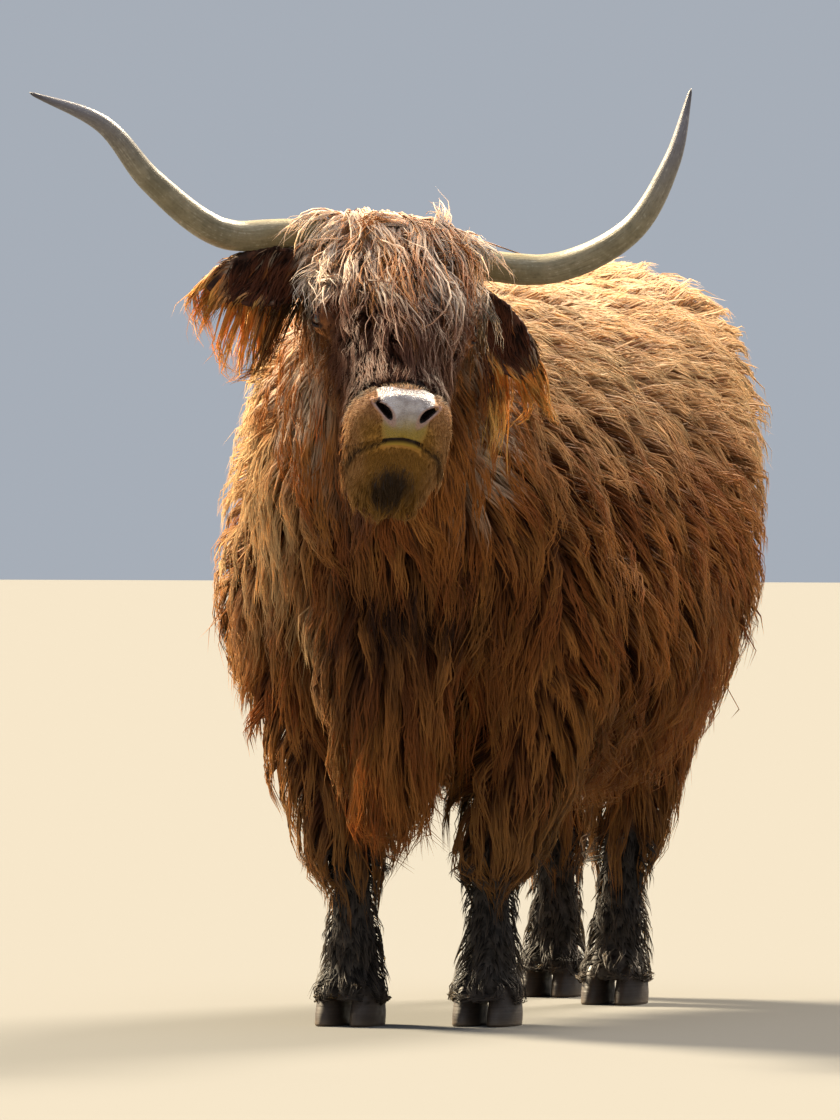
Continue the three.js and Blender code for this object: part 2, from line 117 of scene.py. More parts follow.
def head_world(p):
    return np.asarray(p, float) @ HEAD_TURN.T + POLL


EYES = {s: head_world(EYE * (s, 1, 1)) for s in SIDES}


# ---------------------------------------------------------------- forms, as distances
def hermite_table(at, values, count=400):
    """values sampled evenly along at, through a cubic with the slope of each station's neighbours."""
    at, values = np.asarray(at, float), np.asarray(values, float)
    slope = np.empty_like(values)
    slope[1:-1] = (values[2:] - values[:-2]) / (at[2:] - at[:-2])[:, None]
    first = (values[1] - values[0]) / (at[1] - at[0])
    last = (values[-1] - values[-2]) / (at[-1] - at[-2])
    slope[0], slope[-1] = 1.5 * first - 0.5 * slope[1], 1.5 * last - 0.5 * slope[-2]
    t = np.linspace(at[0], at[-1], count)
    i = np.clip(np.searchsorted(at, t, side="right") - 1, 0, len(at) - 2)
    h = (at[i + 1] - at[i])[:, None]
    s = ((t - at[i])[:, None]) / h
    m, n = slope[i] * h, slope[i + 1] * h
    start = (2 * s**3 - 3 * s**2 + 1) * values[i] + (s**3 - 2 * s**2 + s) * m
    return t, start + (3 * s**2 - 2 * s**3) * values[i + 1] + (s**3 - s**2) * n


class Loft:
    """Squarish rings along y (fore and aft) or z (upright).

    Each row is a ring's place, x, middle, half width, reach over and under, and how far its upper
    half is pinched. ends are the depths of the rounded ends; 0 leaves an end flat.
    """

    def __init__(self, axis, rows, ends, square=2.2):
        self.along, self.up = {"y": (1, 2), "z": (2, 1)}[axis]
        rows = np.array([tuple(r) + (0,) * (7 - len(r)) for r in rows], float)
        self.t, self.values = hermite_table(rows[:, 0], rows[:, 1:])
        self.first, self.last = rows[0, 0], rows[-1, 0]
        self.ends, self.square = ends, square
        x, mid, wide, over, under = self.values[:, :5].T
        low, high = np.zeros(3), np.zeros(3)
        low[0], high[0] = (x - 1.25 * wide).min(), (x + 1.25 * wide).max()
        low[self.up], high[self.up] = (mid - under).min(), (mid + over).max()
        low[self.along], high[self.along] = self.first, self.last
        self.low, self.high = low, high

    def distance(self, p):
        at = p[:, self.along]
        t = np.clip(at, self.first, self.last)
        x, mid, wide, over, under, pinch = (np.interp(t, self.t, v) for v in self.values.T)
        du, dv = p[:, 0] - x, p[:, self.up] - mid
        size = np.where(dv > 0, over, under)
        n = dv / size
        side = wide * (1 - pinch * np.clip(n, -1, 1))
        r = (np.abs(du / side) ** self.square + np.abs(n) ** self.square) ** (1 / self.square)
        reach = np.hypot(du, dv)
        scale = np.where(r > 0.05, reach / np.maximum(r, 0.05), np.minimum(side, size))
        w = np.zeros_like(at)
        for depth, inward in zip(self.ends, (at - self.first, self.last - at)):
            if depth:
                w = np.maximum(w, (depth - inward) / depth)
        depth = np.where(at - self.first < self.last - at, *self.ends) + 1e-6
        rr = np.sqrt(r * r + w * w)
        scale = (scale * r * r + depth * w * w) / np.maximum(rr * rr, 1e-6)
        out = (rr - 1) * scale
        beyond = np.maximum(self.first - at, at - self.last)
        flat = np.where(at - self.first < self.last - at, self.ends[0] == 0, self.ends[1] == 0)
        return np.where(flat, np.maximum(out, beyond), out)


class Ball:
    def __init__(self, centre, size):
        self.centre, self.size = np.array(centre, float), np.array(size, float) * np.ones(3)
        self.low, self.high = self.centre - self.size, self.centre + self.size

    def distance(self, p):
        d = p - self.centre
        r = np.linalg.norm(d / self.size, axis=1)
        reach = np.linalg.norm(d, axis=1)
        return (r - 1) * np.where(r > 0.05, reach / np.maximum(r, 0.05), self.size.min())


class Tube:
    """A round tube through points, each with its own radius."""

    def __init__(self, points, radii):
        self.points, self.radii = np.array(points, float), np.array(radii, float)
        big = self.radii.max()
        self.low, self.high = self.points.min(0) - big, self.points.max(0) + big

    def distance(self, p):
        best = np.full(len(p), 1e9)
        for a, b, ra, rb in zip(self.points, self.points[1:], self.radii, self.radii[1:]):
            ab = b - a
            t = np.clip((p - a) @ ab / (ab @ ab), 0, 1)
            d = np.linalg.norm(p - a - t[:, None] * ab, axis=1) - mix(ra, rb, t)
            best = np.minimum(best, d)
        return best


def smooth_min(a, b, k):
    h = np.maximum(k - np.abs(a - b), 0) / k
    return np.minimum(a, b) - h * h * k / 4


def smooth_max(a, b, k):
    return -smooth_min(-a, -b, k)


# Body stations: share of length, x, mid, half width share, top, hem, pinch, and the coat's depth
# at the side, the top and the hem.
BODY = [
    (0.000, 104, 1040, 0.30, 1150, 880, 0.00, 26, 30, 60),
    (0.043, 80, 1020, 0.40, 1188, 820, 0.00, 46, 40, 75),
    (0.104, 48, 975, 0.51, 1198, 720, 0.05, 56, 48, 95),
    (0.178, 20, 900, 0.62, 1190, 590, 0.10, 64, 50, 110),
    (0.252, 4, 780, 0.79, 1178, 500, 0.15, 74, 48, 100),
    (0.325, 0, 705, 0.90, 1172, 440, 0.14, 78, 46, 95),
    (0.454, 0, 680, 0.975, 1170, 380, 0.05, 80, 45, 110),
    (0.589, 0, 710, 1.00, 1168, 345, 0.00, 82, 45, 125),
    (0.730, 0, 800, 0.955, 1182, 360, 0.00, 78, 46, 125),
    (0.847, 0, 860, 0.81, 1196, 440, -0.05, 64, 46, 110),
    (0.933, 0, 880, 0.68, 1178, 540, -0.05, 56, 48, 90),
    (1.000, 0, 890, 0.52, 1116, 610, 0.00, 46, 50, 80),
]


def body_rows(coat):
    """Rows of the body: without its coat where coat is 1, with it where coat is 0."""
    for share, x, mid, wide, top, hem, pinch, side, over, under in BODY:
        over, under = top - mid - coat * over, mid - hem - coat * under
        yield (THROAT_Y + share * BODY_LENGTH, x, mid, wide * BARREL_HALF - coat * side, over, under, pinch)


BRISKET = [
    (280, 20, -190, 50, 70, 48), (350, 18, -195, 78, 95, 72), (450, 15, -200, 98, 110, 88),
    (600, 12, -195, 132, 120, 110), (740, 12, -185, 140, 120, 90), (840, 12, -185, 110, 90, 60),
]
# The dewlap and breast under that hair.
BREAST = [
    (440, 15, -165, 34, 60, 40), (520, 13, -170, 62, 90, 58), (620, 12, -170, 84, 100, 66),
    (740, 12, -165, 92, 100, 52), (830, 12, -165, 80, 80, 30),
]
# Head stations: share from the nose back, half width, mid, top, jaw, pinch and the coat's depth.
SKULL = [
    (0.00, 60, -62, -20, -130, 0.08, 2, 2, 3),
    (0.06, 76, -64, -6, -204, 0.08, 4, 3, 10),
    (0.16, 82, -66, 2, -230, 0.08, 12, 11, 20),
    (0.28, 79, -66, 10, -216, 0.06, 16, 15, 24),
    (0.42, 90, -68, 20, -196, 0.08, 18, 17, 26),
    (0.56, 106, -66, 34, -204, 0.04, 21, 18, 30),
    (0.68, 118, -60, 46, -214, -0.02, 26, 21, 34),
    (0.84, 118, -60, 54, -206, 0.00, 30, 23, 36),
    (1.00, 106, -50, 52, -165, 0.00, 30, 24, 34),
    (1.14, 70, -40, 26, -110, 0.00, 20, 20, 30),
]
MUZZLE_SWING = 14.0           # how far the muzzle lies to the right of the head's middle line


def swing(y):
    return -MUZZLE_SWING * ramp(y, -235, -400)


def skull_rows(coat):
    for share, wide, mid, top, jaw, pinch, side, over, under in SKULL:
        y = (share - 1) * HEAD_LENGTH
        over, under = top - mid - coat * over, mid - jaw - coat * under
        yield (y, swing(y), mid, wide - coat * side, over, under, pinch)


FORELOCK = [
    (-335, 0, -20, 36, 50, 30), (-300, 0, -20, 74, 62, 40), (-255, 0, -20, 96, 76, 55),
    (-180, 0, -20, 124, 90, 74), (-90, 0, -14, 148, 92, 76), (-10, 0, -6, 158, 82, 62),
    (60, 0, -10, 120, 58, 40),
]
# Outer sleeves: z, share from foot to joint, back, half width, back half, front half.
SLEEVES = {
    "fore": [
        (205, 0.02, 4, 54, 62, 58), (255, 0.07, 6, 80, 88, 84), (330, 0.20, 10, 100, 112, 102),
        (430, 0.44, 16, 124, 132, 118), (500, 0.64, 14, 128, 142, 122),
        (565, 0.70, 8, 118, 138, 112), (615, 0.70, 4, 96, 118, 90), (650, 0.70, 4, 70, 90, 66),
    ],
    "hind": [
        (205, 0.00, 12, 54, 62, 60), (270, 0.05, 26, 74, 80, 78), (370, 0.15, 50, 92, 100, 98),
        (470, 0.38, 62, 106, 122, 125), (560, 0.62, 50, 112, 148, 152),
        (640, 0.72, 30, 100, 146, 150), (710, 0.72, 20, 70, 100, 110),
    ],
}
SHANK = [
    (34, 0.0, 56, 66, 70), (62, 0.0, 56, 62, 66), (100, 0.1, 50, 56, 52),
    (160, 0.35, 43, 50, 42), (230, 0.65, 43, 50, 42), (320, 1.0, 46, 52, 46),
]
# The legs under the hair: z, how far along foot to joint, back, half width, back half, front half.
LIMBS = {
    "fore": [
        (40, 0.00, 0, 43, 50, 46), (66, 0.00, 0, 43, 48, 44), (92, 0.00, 2, 33, 38, 34),
        (126, 0.00, 4, 38, 42, 36), (172, 0.01, 4, 28, 32, 28), (245, 0.03, 6, 29, 33, 30),
        (300, 0.10, 8, 38, 38, 38), (338, 0.20, 8, 43, 42, 44), (385, 0.32, 12, 38, 46, 38),
        (450, 0.48, 16, 52, 66, 50), (530, 0.66, 14, 66, 92, 70), (620, 0.72, 4, 76, 112, 84),
        (700, 0.72, 4, 60, 90, 70),
    ],
    "hind": [
        (40, 0.00, 0, 43, 50, 46), (66, 0.00, 2, 43, 48, 44), (92, 0.00, 6, 33, 38, 34),
        (126, 0.00, 10, 38, 44, 36), (180, 0.01, 18, 29, 36, 30), (280, 0.05, 30, 32, 42, 34),
        (350, 0.12, 46, 40, 54, 42), (395, 0.20, 58, 40, 58, 48), (450, 0.34, 60, 46, 70, 66),
        (530, 0.56, 52, 66, 104, 98), (620, 0.72, 34, 78, 126, 126), (720, 0.78, 20, 72, 110, 115),
    ],
}


def leg_rows(table, name, sign):
    (fx, fy), (jx, jy) = FEET[name, sign], JOINTS[name]
    for z, share, back, wide, over, under in table[name]:
        yield (z, mix(fx, sign * jx, share), mix(fy, jy, share) + back, wide, over, under)


def shank_rows(name, sign):
    fx, fy = FEET[name, sign]
    for z, share, wide, over, under in SHANK:
        yield (z, fx, fy + share * LEAN[name], wide, over, under)


TAIL_PATH = [(0, 1000, 1085), (0, 1100, 1108), (0, 1158, 1020), (0, 1164, 860), (0, 1158, 690)]
SWITCH = [
    (190, 0, 1145, 22, 22, 22), (300, 0, 1148, 60, 52, 52), (440, 0, 1154, 72, 60, 60),
    (600, 0, 1158, 58, 48, 50), (740, 0, 1160, 42, 36, 40),
]

body_naked = Loft("y", body_rows(1), (50, 110), 2.3)
body_coat = Loft("y", body_rows(0), (60, 130), 2.3)
breast = Loft("z", BREAST, (30, 40))
bib = Loft("z", BRISKET, (45, 40))
skull_naked = Loft("y", skull_rows(1), (32, 55), 2.3)
skull_coat = Loft("y", skull_rows(0), (34, 60), 2.3)
forelock_coat = Loft("y", FORELOCK, (18, 50))
limbs = {leg: Loft("z", leg_rows(LIMBS, *leg), (0, 60)) for leg in FEET}
sleeves = {leg: Loft("z", leg_rows(SLEEVES, *leg), (30, 40)) for leg in FEET}
shanks = {leg: Loft("z", shank_rows(*leg), (6, 20)) for leg in FEET}
dock = Tube([*TAIL_PATH, (0, 1150, 560)], [30, 28, 24, 19, 15, 10])
tail_coat = Tube(TAIL_PATH, [42, 40, 38, 36, 34])
switch = Loft("z", SWITCH, (30, 30))

# ---------------------------------------------------------------- horns
HORN_PATHS = {
    1: [(60, 0, -4), (150, -12, -26), (250, -45, -29), (356, -85, 27), (415, -90, 126), (450, -62, 240)],
    -1: [(-60, 0, 16), (-155, -12, 20), (-258, -40, 22), (-366, -75, 98), (-440, -85, 182), (-548, -60, 230)],
}
HORN_RADIUS = 25


def smooth_path(points, count):
    """Evenly spaced points on the centripetal Catmull-Rom curve through points, and its length."""
    pts = np.array(points, float)
    pts = np.vstack([2 * pts[0] - pts[1], pts, 2 * pts[-1] - pts[-2]])
    out = []
    for i in range(len(pts) - 3):
        p = pts[i : i + 4]
        k = np.concatenate([[0], np.cumsum(np.linalg.norm(np.diff(p, axis=0), axis=1) ** 0.5)])
        t = np.linspace(k[1], k[2], 60)[:, None]
        a = [((k[j + 1] - t) * p[j] + (t - k[j]) * p[j + 1]) / (k[j + 1] - k[j]) for j in range(3)]
        b = [((k[j + 2] - t) * a[j] + (t - k[j]) * a[j + 1]) / (k[j + 2] - k[j]) for j in range(2)]
        c = ((k[2] - t) * b[0] + (t - k[1]) * b[1]) / (k[2] - k[1])
        out.append(c[:-1] if i < len(pts) - 4 else c)
    curve = np.vstack(out)
    travelled = np.concatenate([[0], np.cumsum(np.linalg.norm(np.diff(curve, axis=0), axis=1))])
    s = np.linspace(0, travelled[-1], count)
    return np.stack([np.interp(s, travelled, curve[:, j]) for j in range(3)], 1), travelled[-1]


def horn_world(points):
    return np.asarray(points, float) @ HORN_TURN.T + POLL


def horn_radius(t):
    """A horn thins slowly at first and then to its point."""
    return HORN_RADIUS * (1 - 0.28 * t**1.3 - 0.62 * t**4)


def horn_tube(sign):
    path, _ = smooth_path(HORN_PATHS[sign], 12)
    return Tube(horn_world(path), horn_radius(np.linspace(0, 1, 12)))


horn_tubes = [horn_tube(s) for s in SIDES]
BOSSES = [(72, -2, -6), (-72, -2, 16)]        # the swellings of the skull that the horns grow from
bosses = [Ball(horn_world(at), 33) for at in BOSSES]


# ---------------------------------------------------------------- the head's own features
def muzzle_x(local):
    """Sideways place on the muzzle, from its own middle line."""
    return local[:, 0] - swing(local[:, 1])


def fold_y(z):
    """Where the fold over the muzzle lies, at which the long hair of the face ends."""
    return -388 + 12 * ramp(z, -10, -60) - 34 * ramp(z, -66, -104)


def mouth_z(x, y):
    """Height of the mouth's line: level in the middle, drooping to its corners."""
    out = np.clip(np.abs(x) / 72, 0, 1.3)
    return -68 - 42 * out**1.9 - 10 * ramp(y, -430, -340)


NOSTRIL_AT = (34, -441, -29)
NOSTRIL_SIZE = (15, 24, 5.2)
NOSTRIL_SLANT = math.radians(30)


def nostril_distance(x, local):
    """Distance to the nearer nostril's hollow: a slanted almond that runs up and outwards."""
    half, deep, tall = NOSTRIL_SIZE
    c, s = math.cos(NOSTRIL_SLANT), math.sin(NOSTRIL_SLANT)
    u, w = np.abs(x) - NOSTRIL_AT[0], local[:, 2] - NOSTRIL_AT[2]
    reach, across = c * u + s * w, -s * u + c * w
    across = across + 0.012 * reach * reach - 1.5          # bowed like a comma
    tall = tall * (1 - 0.28 * np.clip(reach / half, -1, 1.3))
    q = np.stack([reach / half, (local[:, 1] - NOSTRIL_AT[1]) / deep, across / tall], 1)
    return (np.linalg.norm(q, axis=1) - 1) * 9.5


def head_distance(local):
    f = skull_naked.distance(local)
    x, y, z = muzzle_x(local), local[:, 1], local[:, 2]
    ax = np.abs(local[:, 0])
    # orbits and poll
    orbit = np.linalg.norm((np.stack([ax, y, z], 1) - (EYE - (4, 0, 0))) / (1, 1.16, 1.0), axis=1) - 26.5
    f = smooth_min(f, orbit, 26)
    poll = (np.linalg.norm(np.stack([local[:, 0] / 78, y / 46, (z - 14) / 40], 1), axis=1) - 1) * 44
    f = smooth_min(f, poll, 34)
    front = ramp(y, -395, -432)
    side = ramp(y, -330, -350)
    # upper lip, lower lip and chin
    zm = mouth_z(x, y)
    f = f - 2.6 * bell(z, zm + 13, 10) * side
    f = f - 2.4 * bell(z, zm - 12, 8) * ramp(y, -380, -420)
    f = f + 3.6 * bell(z, zm - 32, 11) * front * (ax < 70)
    f = f - 4.0 * bell(z, -160, 30) * bell(x, 0, 36) * front
    f = f + 7.5 * bell(z, zm, 2.9) * side
    # nose pad with its groove, and the nostrils' raised rims
    f = f + 1.8 * bell(x, 0, 3.2) * bell(z, -56, 14) * front
    d = nostril_distance(x, local)
    f = f - 3.2 * bell(d, 5.5, 4.5) * ramp(y, -400, -425)
    f = smooth_max(f, -d, 2.5)
    # the fold over the muzzle where the hair of the face ends
    fold = y - fold_y(z)
    f = f + 5.0 * bell(fold, 0, 4.5) * ramp(z, -78, -58)
    f = f - 2.0 * bell(fold, -14, 8) * ramp(z, -84, -60)
    return f


def eye_axes(sign):
    """The way an eye looks, its long axis from the nose's side back, and its upright axis."""
    look = unit(HEAD_TURN @ np.array([sign * 0.90, -0.42, 0.10]))
    back = HEAD_TURN @ np.array([0, 1.0, 0.10])
    back = unit(back - look * (back @ look))
    up = np.cross(look, back) * sign
    return look, back, up if (HEAD_TURN.T @ up)[2] > 0 else -up


def eye_local(p, sign):
    """Places in an eye's own axes: back from the nose's side, up, and out along its look."""
    look, back, up = eye_axes(sign)
    d = p - EYES[sign]
    return d @ back, d @ up, d @ look


LID_HALF, LID_OVER, LID_UNDER = 17.5, 10.5, 8.0       # the opening's half length and its two heights


def eye_hollow(p, sign):
    """The socket with the opening between its lids."""
    u, v, w = eye_local(p, sign)
    ball = np.linalg.norm(p - EYES[sign], axis=1) - EYE_RADIUS - 0.6
    tall = np.where(v > 0, LID_OVER, LID_UNDER) * np.clip(1 - (u / LID_HALF) ** 2, 0.02, 1)
    slit = np.maximum(np.abs(v) - tall, np.abs(u) - LID_HALF)
    slit = np.maximum(slit, 6 - w)
    return np.minimum(ball, slit)


def lid_folds(p, sign):
    """A groove over the upper lid and one under the lower lid."""
    u, v, w = eye_local(p, sign)
    near = ramp(w, 0, 8) * ramp(np.abs(u), 26, 14)
    over = bell(v, 15.5 - 0.012 * u * u, 1.8)
    under = bell(v, -13.5 + 0.012 * u * u, 1.8)
    return near * (1.7 * over + 1.2 * under)


EAR_LENGTH, EAR_WIDE, EAR_CUP, EAR_THICK = 174, 46, 17, 4.6
EAR_ROOTS = {1: (112, -42, -42), -1: (-110, -34, -32)}
EAR_DROOP = {1: 42, -1: 14}
EAR_TURN = {s: HEAD_TURN @ turn("x", -PITCH) @ turn("y", s * EAR_DROOP[s]) for s in SIDES}


def ear_local(p, sign):
    """In the ear's frame x runs to its tip, z up across it and -y is the way it faces."""
    e = (p - head_world(EAR_ROOTS[sign])) @ EAR_TURN[sign]
    return e * (sign, 1, 1)


EAR_MIDDLE = {s: head_world(EAR_ROOTS[s]) + EAR_TURN[s] @ np.array([s * 90, 0, 0]) for s in SIDES}


def ear_distance(p, sign):
    """A leaf cupped forward, rounded at its rim and tip, on a short root."""
    e = ear_local(p, sign)
    share = np.clip(e[:, 0] / EAR_LENGTH, 0, 1)
    wide = EAR_WIDE * np.interp(share, [0, 0.12, 0.35, 0.6, 0.85, 1], [0.50, 0.72, 1.0, 0.93, 0.56, 0.10])
    q = e[:, 2] / np.maximum(wide, 4)
    cup = EAR_CUP * (1 - np.clip(q * q, 0, 1.4)) * ramp(share, 1.1, 0.3)
    d = np.abs(e[:, 1] - cup + 8) - EAR_THICK * (1.3 - 0.3 * share)
    d = smooth_max(d, np.abs(e[:, 2]) - wide, 6)
    d = smooth_max(d, e[:, 0] - EAR_LENGTH, 8)
    d = smooth_max(d, -30 - e[:, 0], 4)
    root = np.linalg.norm((e - (2, 2, 0)) / (1.5, 1.0, 1.3), axis=1) - 22
    return smooth_min(d, root, 16)


def nearer_ear(p):
    """Which ear is nearer, 1 or -1, and the places in that ear's frame."""
    sign = np.where(ear_distance(p, 1) < ear_distance(p, -1), 1, -1)
    return sign, np.where((sign > 0)[:, None], ear_local(p, 1), ear_local(p, -1))


# ---------------------------------------------------------------- the skin's surface and the coat's
REACH = 150                   # past this a form is too far off to matter
FAR_OFF = 400.0


def within(p, low, high, reach=REACH):
    return np.all((p > low - reach) & (p < high + reach), axis=1)


def near_head(p):
    return np.linalg.norm(p - head_world((0, -215, -70)), axis=1) < 300 + REACH


def far(p, form):
    """The form's distance where it is within reach."""
    out = np.full(len(p), FAR_OFF)
    near = within(p, form.low, form.high)
    if near.any():
        out[near] = form.distance(p[near])
    return out


def skin_field(p):
    f = far(p, body_naked)
    f = smooth_min(f, far(p, breast), 55)
    for limb in limbs.values():
        f = smooth_min(f, far(p, limb), 40)
    f = smooth_min(f, far(p, dock), 26)
    near = near_head(p)
    if near.any():
        q = p[near]
        h = head_distance(head_local(q))
        for boss in bosses:
            h = smooth_min(h, boss.distance(q), 18)
        for s in SIDES:
            h = smooth_min(h, ear_distance(q, s), 12)
        h = smooth_min(f[near], h, 45)
        for s in SIDES:
            h = smooth_max(h + lid_folds(q, s), -eye_hollow(q, s), 2.0)
        f[near] = h
    return f


EAR_TIPS = 192                # how far the hair of an ear's tip reaches from its root


def ear_coat(p, sign):
    """The ear with its fringe, out to the tips of the hair."""
    e = ear_local(p, sign)
    share = np.clip(e[:, 0] / EAR_TIPS, 0, 1)
    wide = 56 * np.interp(share, [0, 0.25, 0.55, 0.85, 1], [0.6, 0.9, 1.0, 0.7, 0.3])
    thick = 19 * np.interp(share, [0, 0.25, 0.55, 0.85, 1], [1.2, 1.1, 0.9, 0.6, 0.4])
    r = np.sqrt((e[:, 1] / thick) ** 2 + (e[:, 2] / wide) ** 2)
    leaf = np.maximum((r - 1) * np.minimum(thick * 1.3, 30), np.maximum(e[:, 0] - EAR_TIPS, -20 - e[:, 0]))
    down = np.clip((-e[:, 2] - 5) / 135, 0, 1)
    middle = EAR_TIPS * mix(0.60, 0.67, down)
    half = 96 * np.interp(down, [0, 0.55, 1], [0.82, 0.64, 0.24])
    deep = 17 * np.interp(down, [0, 0.55, 1], [0.8, 0.6, 0.4])
    r = np.sqrt(((e[:, 0] - middle) / half) ** 2 + (e[:, 1] / deep) ** 2)
    curtain = np.maximum((r - 1) * 16, np.maximum(-e[:, 2] - 142, e[:, 2] - 5))
    return np.minimum(leaf, curtain)


def coat_field(p):
    """The outline of the hair's tips."""
    f = far(p, body_coat)
    f = smooth_min(f, far(p, bib), 20)
    for leg in FEET:
        f = smooth_min(f, far(p, sleeves[leg]), 20)
        f = smooth_min(f, far(p, shanks[leg]), 10)
    f = smooth_min(f, far(p, tail_coat), 10)
    f = smooth_min(f, far(p, switch), 10)
    near = near_head(p)
    if near.any():
        q = p[near]
        local = head_local(q)
        h = smooth_min(skull_coat.distance(local), forelock_coat.distance(local), 12)
        for s in SIDES:
            h = np.minimum(h, ear_coat(q, s))
        f[near] = smooth_min(f[near], h, 15)
    return f


# ---------------------------------------------------------------- the grid that holds both fields
def zone(low, high, step):
    """A box round a box of the head's own frame, in which the grid is finer."""
    corners = head_world(list(product(*zip(low, high))))
    return corners.min(0), corners.max(0), step


ZONES = [
    zone((-130, -440, -215), (130, 50, 60), 8.0),
    zone((-88, -458, -222), (88, -370, 8), 5.5),
    *[(EYES[s] - 24, EYES[s] + 24, 5.5) for s in SIDES],
    *[(EAR_MIDDLE[s] - 90, EAR_MIDDLE[s] + 90, 7.0) for s in SIDES],
]


def axis_of(j, low, high, coarse):
    """Places of the grid's planes along one axis, closer together where a zone asks for it."""
    places = [low]
    while places[-1] < high:
        at = places[-1]
        step = min([coarse] + [z[2] for z in ZONES if z[0][j] - 3 <= at <= z[1][j] + 3])
        places.append(at + step)
    return np.array(places)


AXES = [axis_of(0, -475, 475, 15.0), axis_of(1, -815, 1265, 21.0), axis_of(2, -25, 1345, 17.0)]
CORNERS = list(product((0, 1), repeat=3))


def on_grid(field):
    """The field on every grid point, worked out a few layers at a time."""
    xs, ys, zs = AXES
    values = np.empty((len(xs), len(ys), len(zs)), np.float32)
    for k in range(0, len(zs), 12):
        part = zs[k : k + 12]
        p = np.stack(np.meshgrid(xs, ys, part, indexing="ij"), -1).reshape(-1, 3)
        values[:, :, k : k + 12] = field(p).reshape(len(xs), len(ys), len(part))
    return values


class Sampled:
    """A field read back from the grid, at places in an array of any shape."""

    def __init__(self, values):
        self.values = values

    def at(self, p):
        index, share = [], []
        for j, axis in enumerate(AXES):
            i = np.clip(np.searchsorted(axis, p[..., j]) - 1, 0, len(axis) - 2)
            t = np.clip((p[..., j] - axis[i]) / (axis[i + 1] - axis[i]), 0, 1)
            index.append(i)
            share.append((1 - t, t))
        out = 0
        for a, b, c in CORNERS:
            weight = share[0][a] * share[1][b] * share[2][c]
            out = out + weight * self.values[index[0] + a, index[1] + b, index[2] + c]
        return out

    def slope(self, p, h=5.0):
        """The way the field rises fastest."""
        return unit(np.stack([self.at(p + d) - self.at(p - d) for d in h * np.eye(3)], -1))


def surface_net(values):
    """Quads over the zero surface: one vertex in each crossed cell, one quad round each crossed edge."""
    inside = values < 0
    nx, ny, nz = (n - 1 for n in values.shape)
    count = sum(inside[a : a + nx, b : b + ny, c : c + nz].astype(np.int8) for a, b, c in CORNERS)
    cells = np.argwhere((count > 0) & (count < 8))
    index = np.full((nx, ny, nz), -1, np.int32)
    index[tuple(cells.T)] = np.arange(len(cells))
    f = np.stack([values[tuple((cells + c).T)] for c in CORNERS], 1)
    place = np.stack([
        np.stack([axis[cells[:, j] + c[j]] for j, axis in enumerate(AXES)], 1) for c in CORNERS
    ], 1)
    total, number = np.zeros((len(cells), 3)), np.zeros(len(cells))
    for m, n in product(range(8), repeat=2):
        if m > n or sum(abs(a - b) for a, b in zip(CORNERS[m], CORNERS[n])) != 1:
            continue
        cross = (f[:, m] < 0) != (f[:, n] < 0)
        t = np.where(cross, f[:, m] / np.where(cross, f[:, m] - f[:, n], 1), 0)
        total += (place[:, m] + t[:, None] * (place[:, n] - place[:, m])) * cross[:, None]
        number += cross
    points = total / number[:, None]
    quads = []
    step = np.eye(3, dtype=int)
    for j in range(3):
        a, b = step[(j + 1) % 3], step[(j + 2) % 3]
        start = [slice(1, -1)] * 3
        start[j] = slice(0, -1)
        end = list(start)
        end[j] = slice(1, None)
        one, two = inside[tuple(start)], inside[tuple(end)]
        for flip, hit in ((False, one & ~two), (True, ~one & two)):
            at = np.argwhere(hit) + 1
            at[:, j] -= 1
            ring = [at - a - b, at - b, at, at - a]
            quad = np.stack([index[tuple(r.T)] for r in ring], 1)
            quads.append(quad[:, ::-1] if flip else quad)
    return points, np.vstack(quads)


def slope_of(field, p, h=0.8):
    """The field's value and gradient at points, from the four corners of a small tetrahedron."""
    corners = h * np.array([[1, 1, 1], [1, -1, -1], [-1, 1, -1], [-1, -1, 1]], float)
    values = [field(p + c) for c in corners]
    grad = sum(v[:, None] * c for v, c in zip(values, corners)) / (4 * h * h)
    return sum(values) / 4, grad


def settle(field, points, rounds=3, most=4.0):
    """Moves points onto the field's zero surface, no further than most in a round."""
    for _ in range(rounds):
        f, grad = slope_of(field, points)
        step = -f[:, None] * grad / np.maximum((grad**2).sum(1), 0.05)[:, None]
        far_off = np.linalg.norm(step, axis=1, keepdims=True)
        points = points + step * np.minimum(1, most / np.maximum(far_off, 1e-9))
    return points


HOOF_BOXES = []
for name, sign in FEET:
    pair = [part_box(f"hoof_{name}_{SIDES[sign]}_{part}") for part in ("inner", "outer")]
    pair = np.array(pair) * 1000 - SHIFT
    HOOF_BOXES.append((pair[:, 0].min(axis=0), pair[:, 1].max(axis=0)))


def horny_field(p):
    """Distance to the horns and to the pairs of claws."""
    out = np.full(len(p), FAR_OFF)
    for tube in horn_tubes:
        out = np.minimum(out, far(p, tube))
    for low, high in HOOF_BOXES:
        near = within(p, low, high, 90)
        middle, half = (low + high) / 2, (high - low) / 2
        q = np.abs(p[near, :2] - middle[:2]) / half[:2]
        r = (q**2.5).sum(axis=1) ** 0.4
        out[near] = np.minimum(out[near], np.maximum((r - 1) * half[0], p[near, 2] - high[2]))
    return out


skin_values, coat_values = on_grid(skin_field), on_grid(coat_field)
skin, coat = Sampled(skin_values), Sampled(coat_values)
solid = Sampled(np.minimum(skin_values, on_grid(horny_field)))   # what the hair lies on


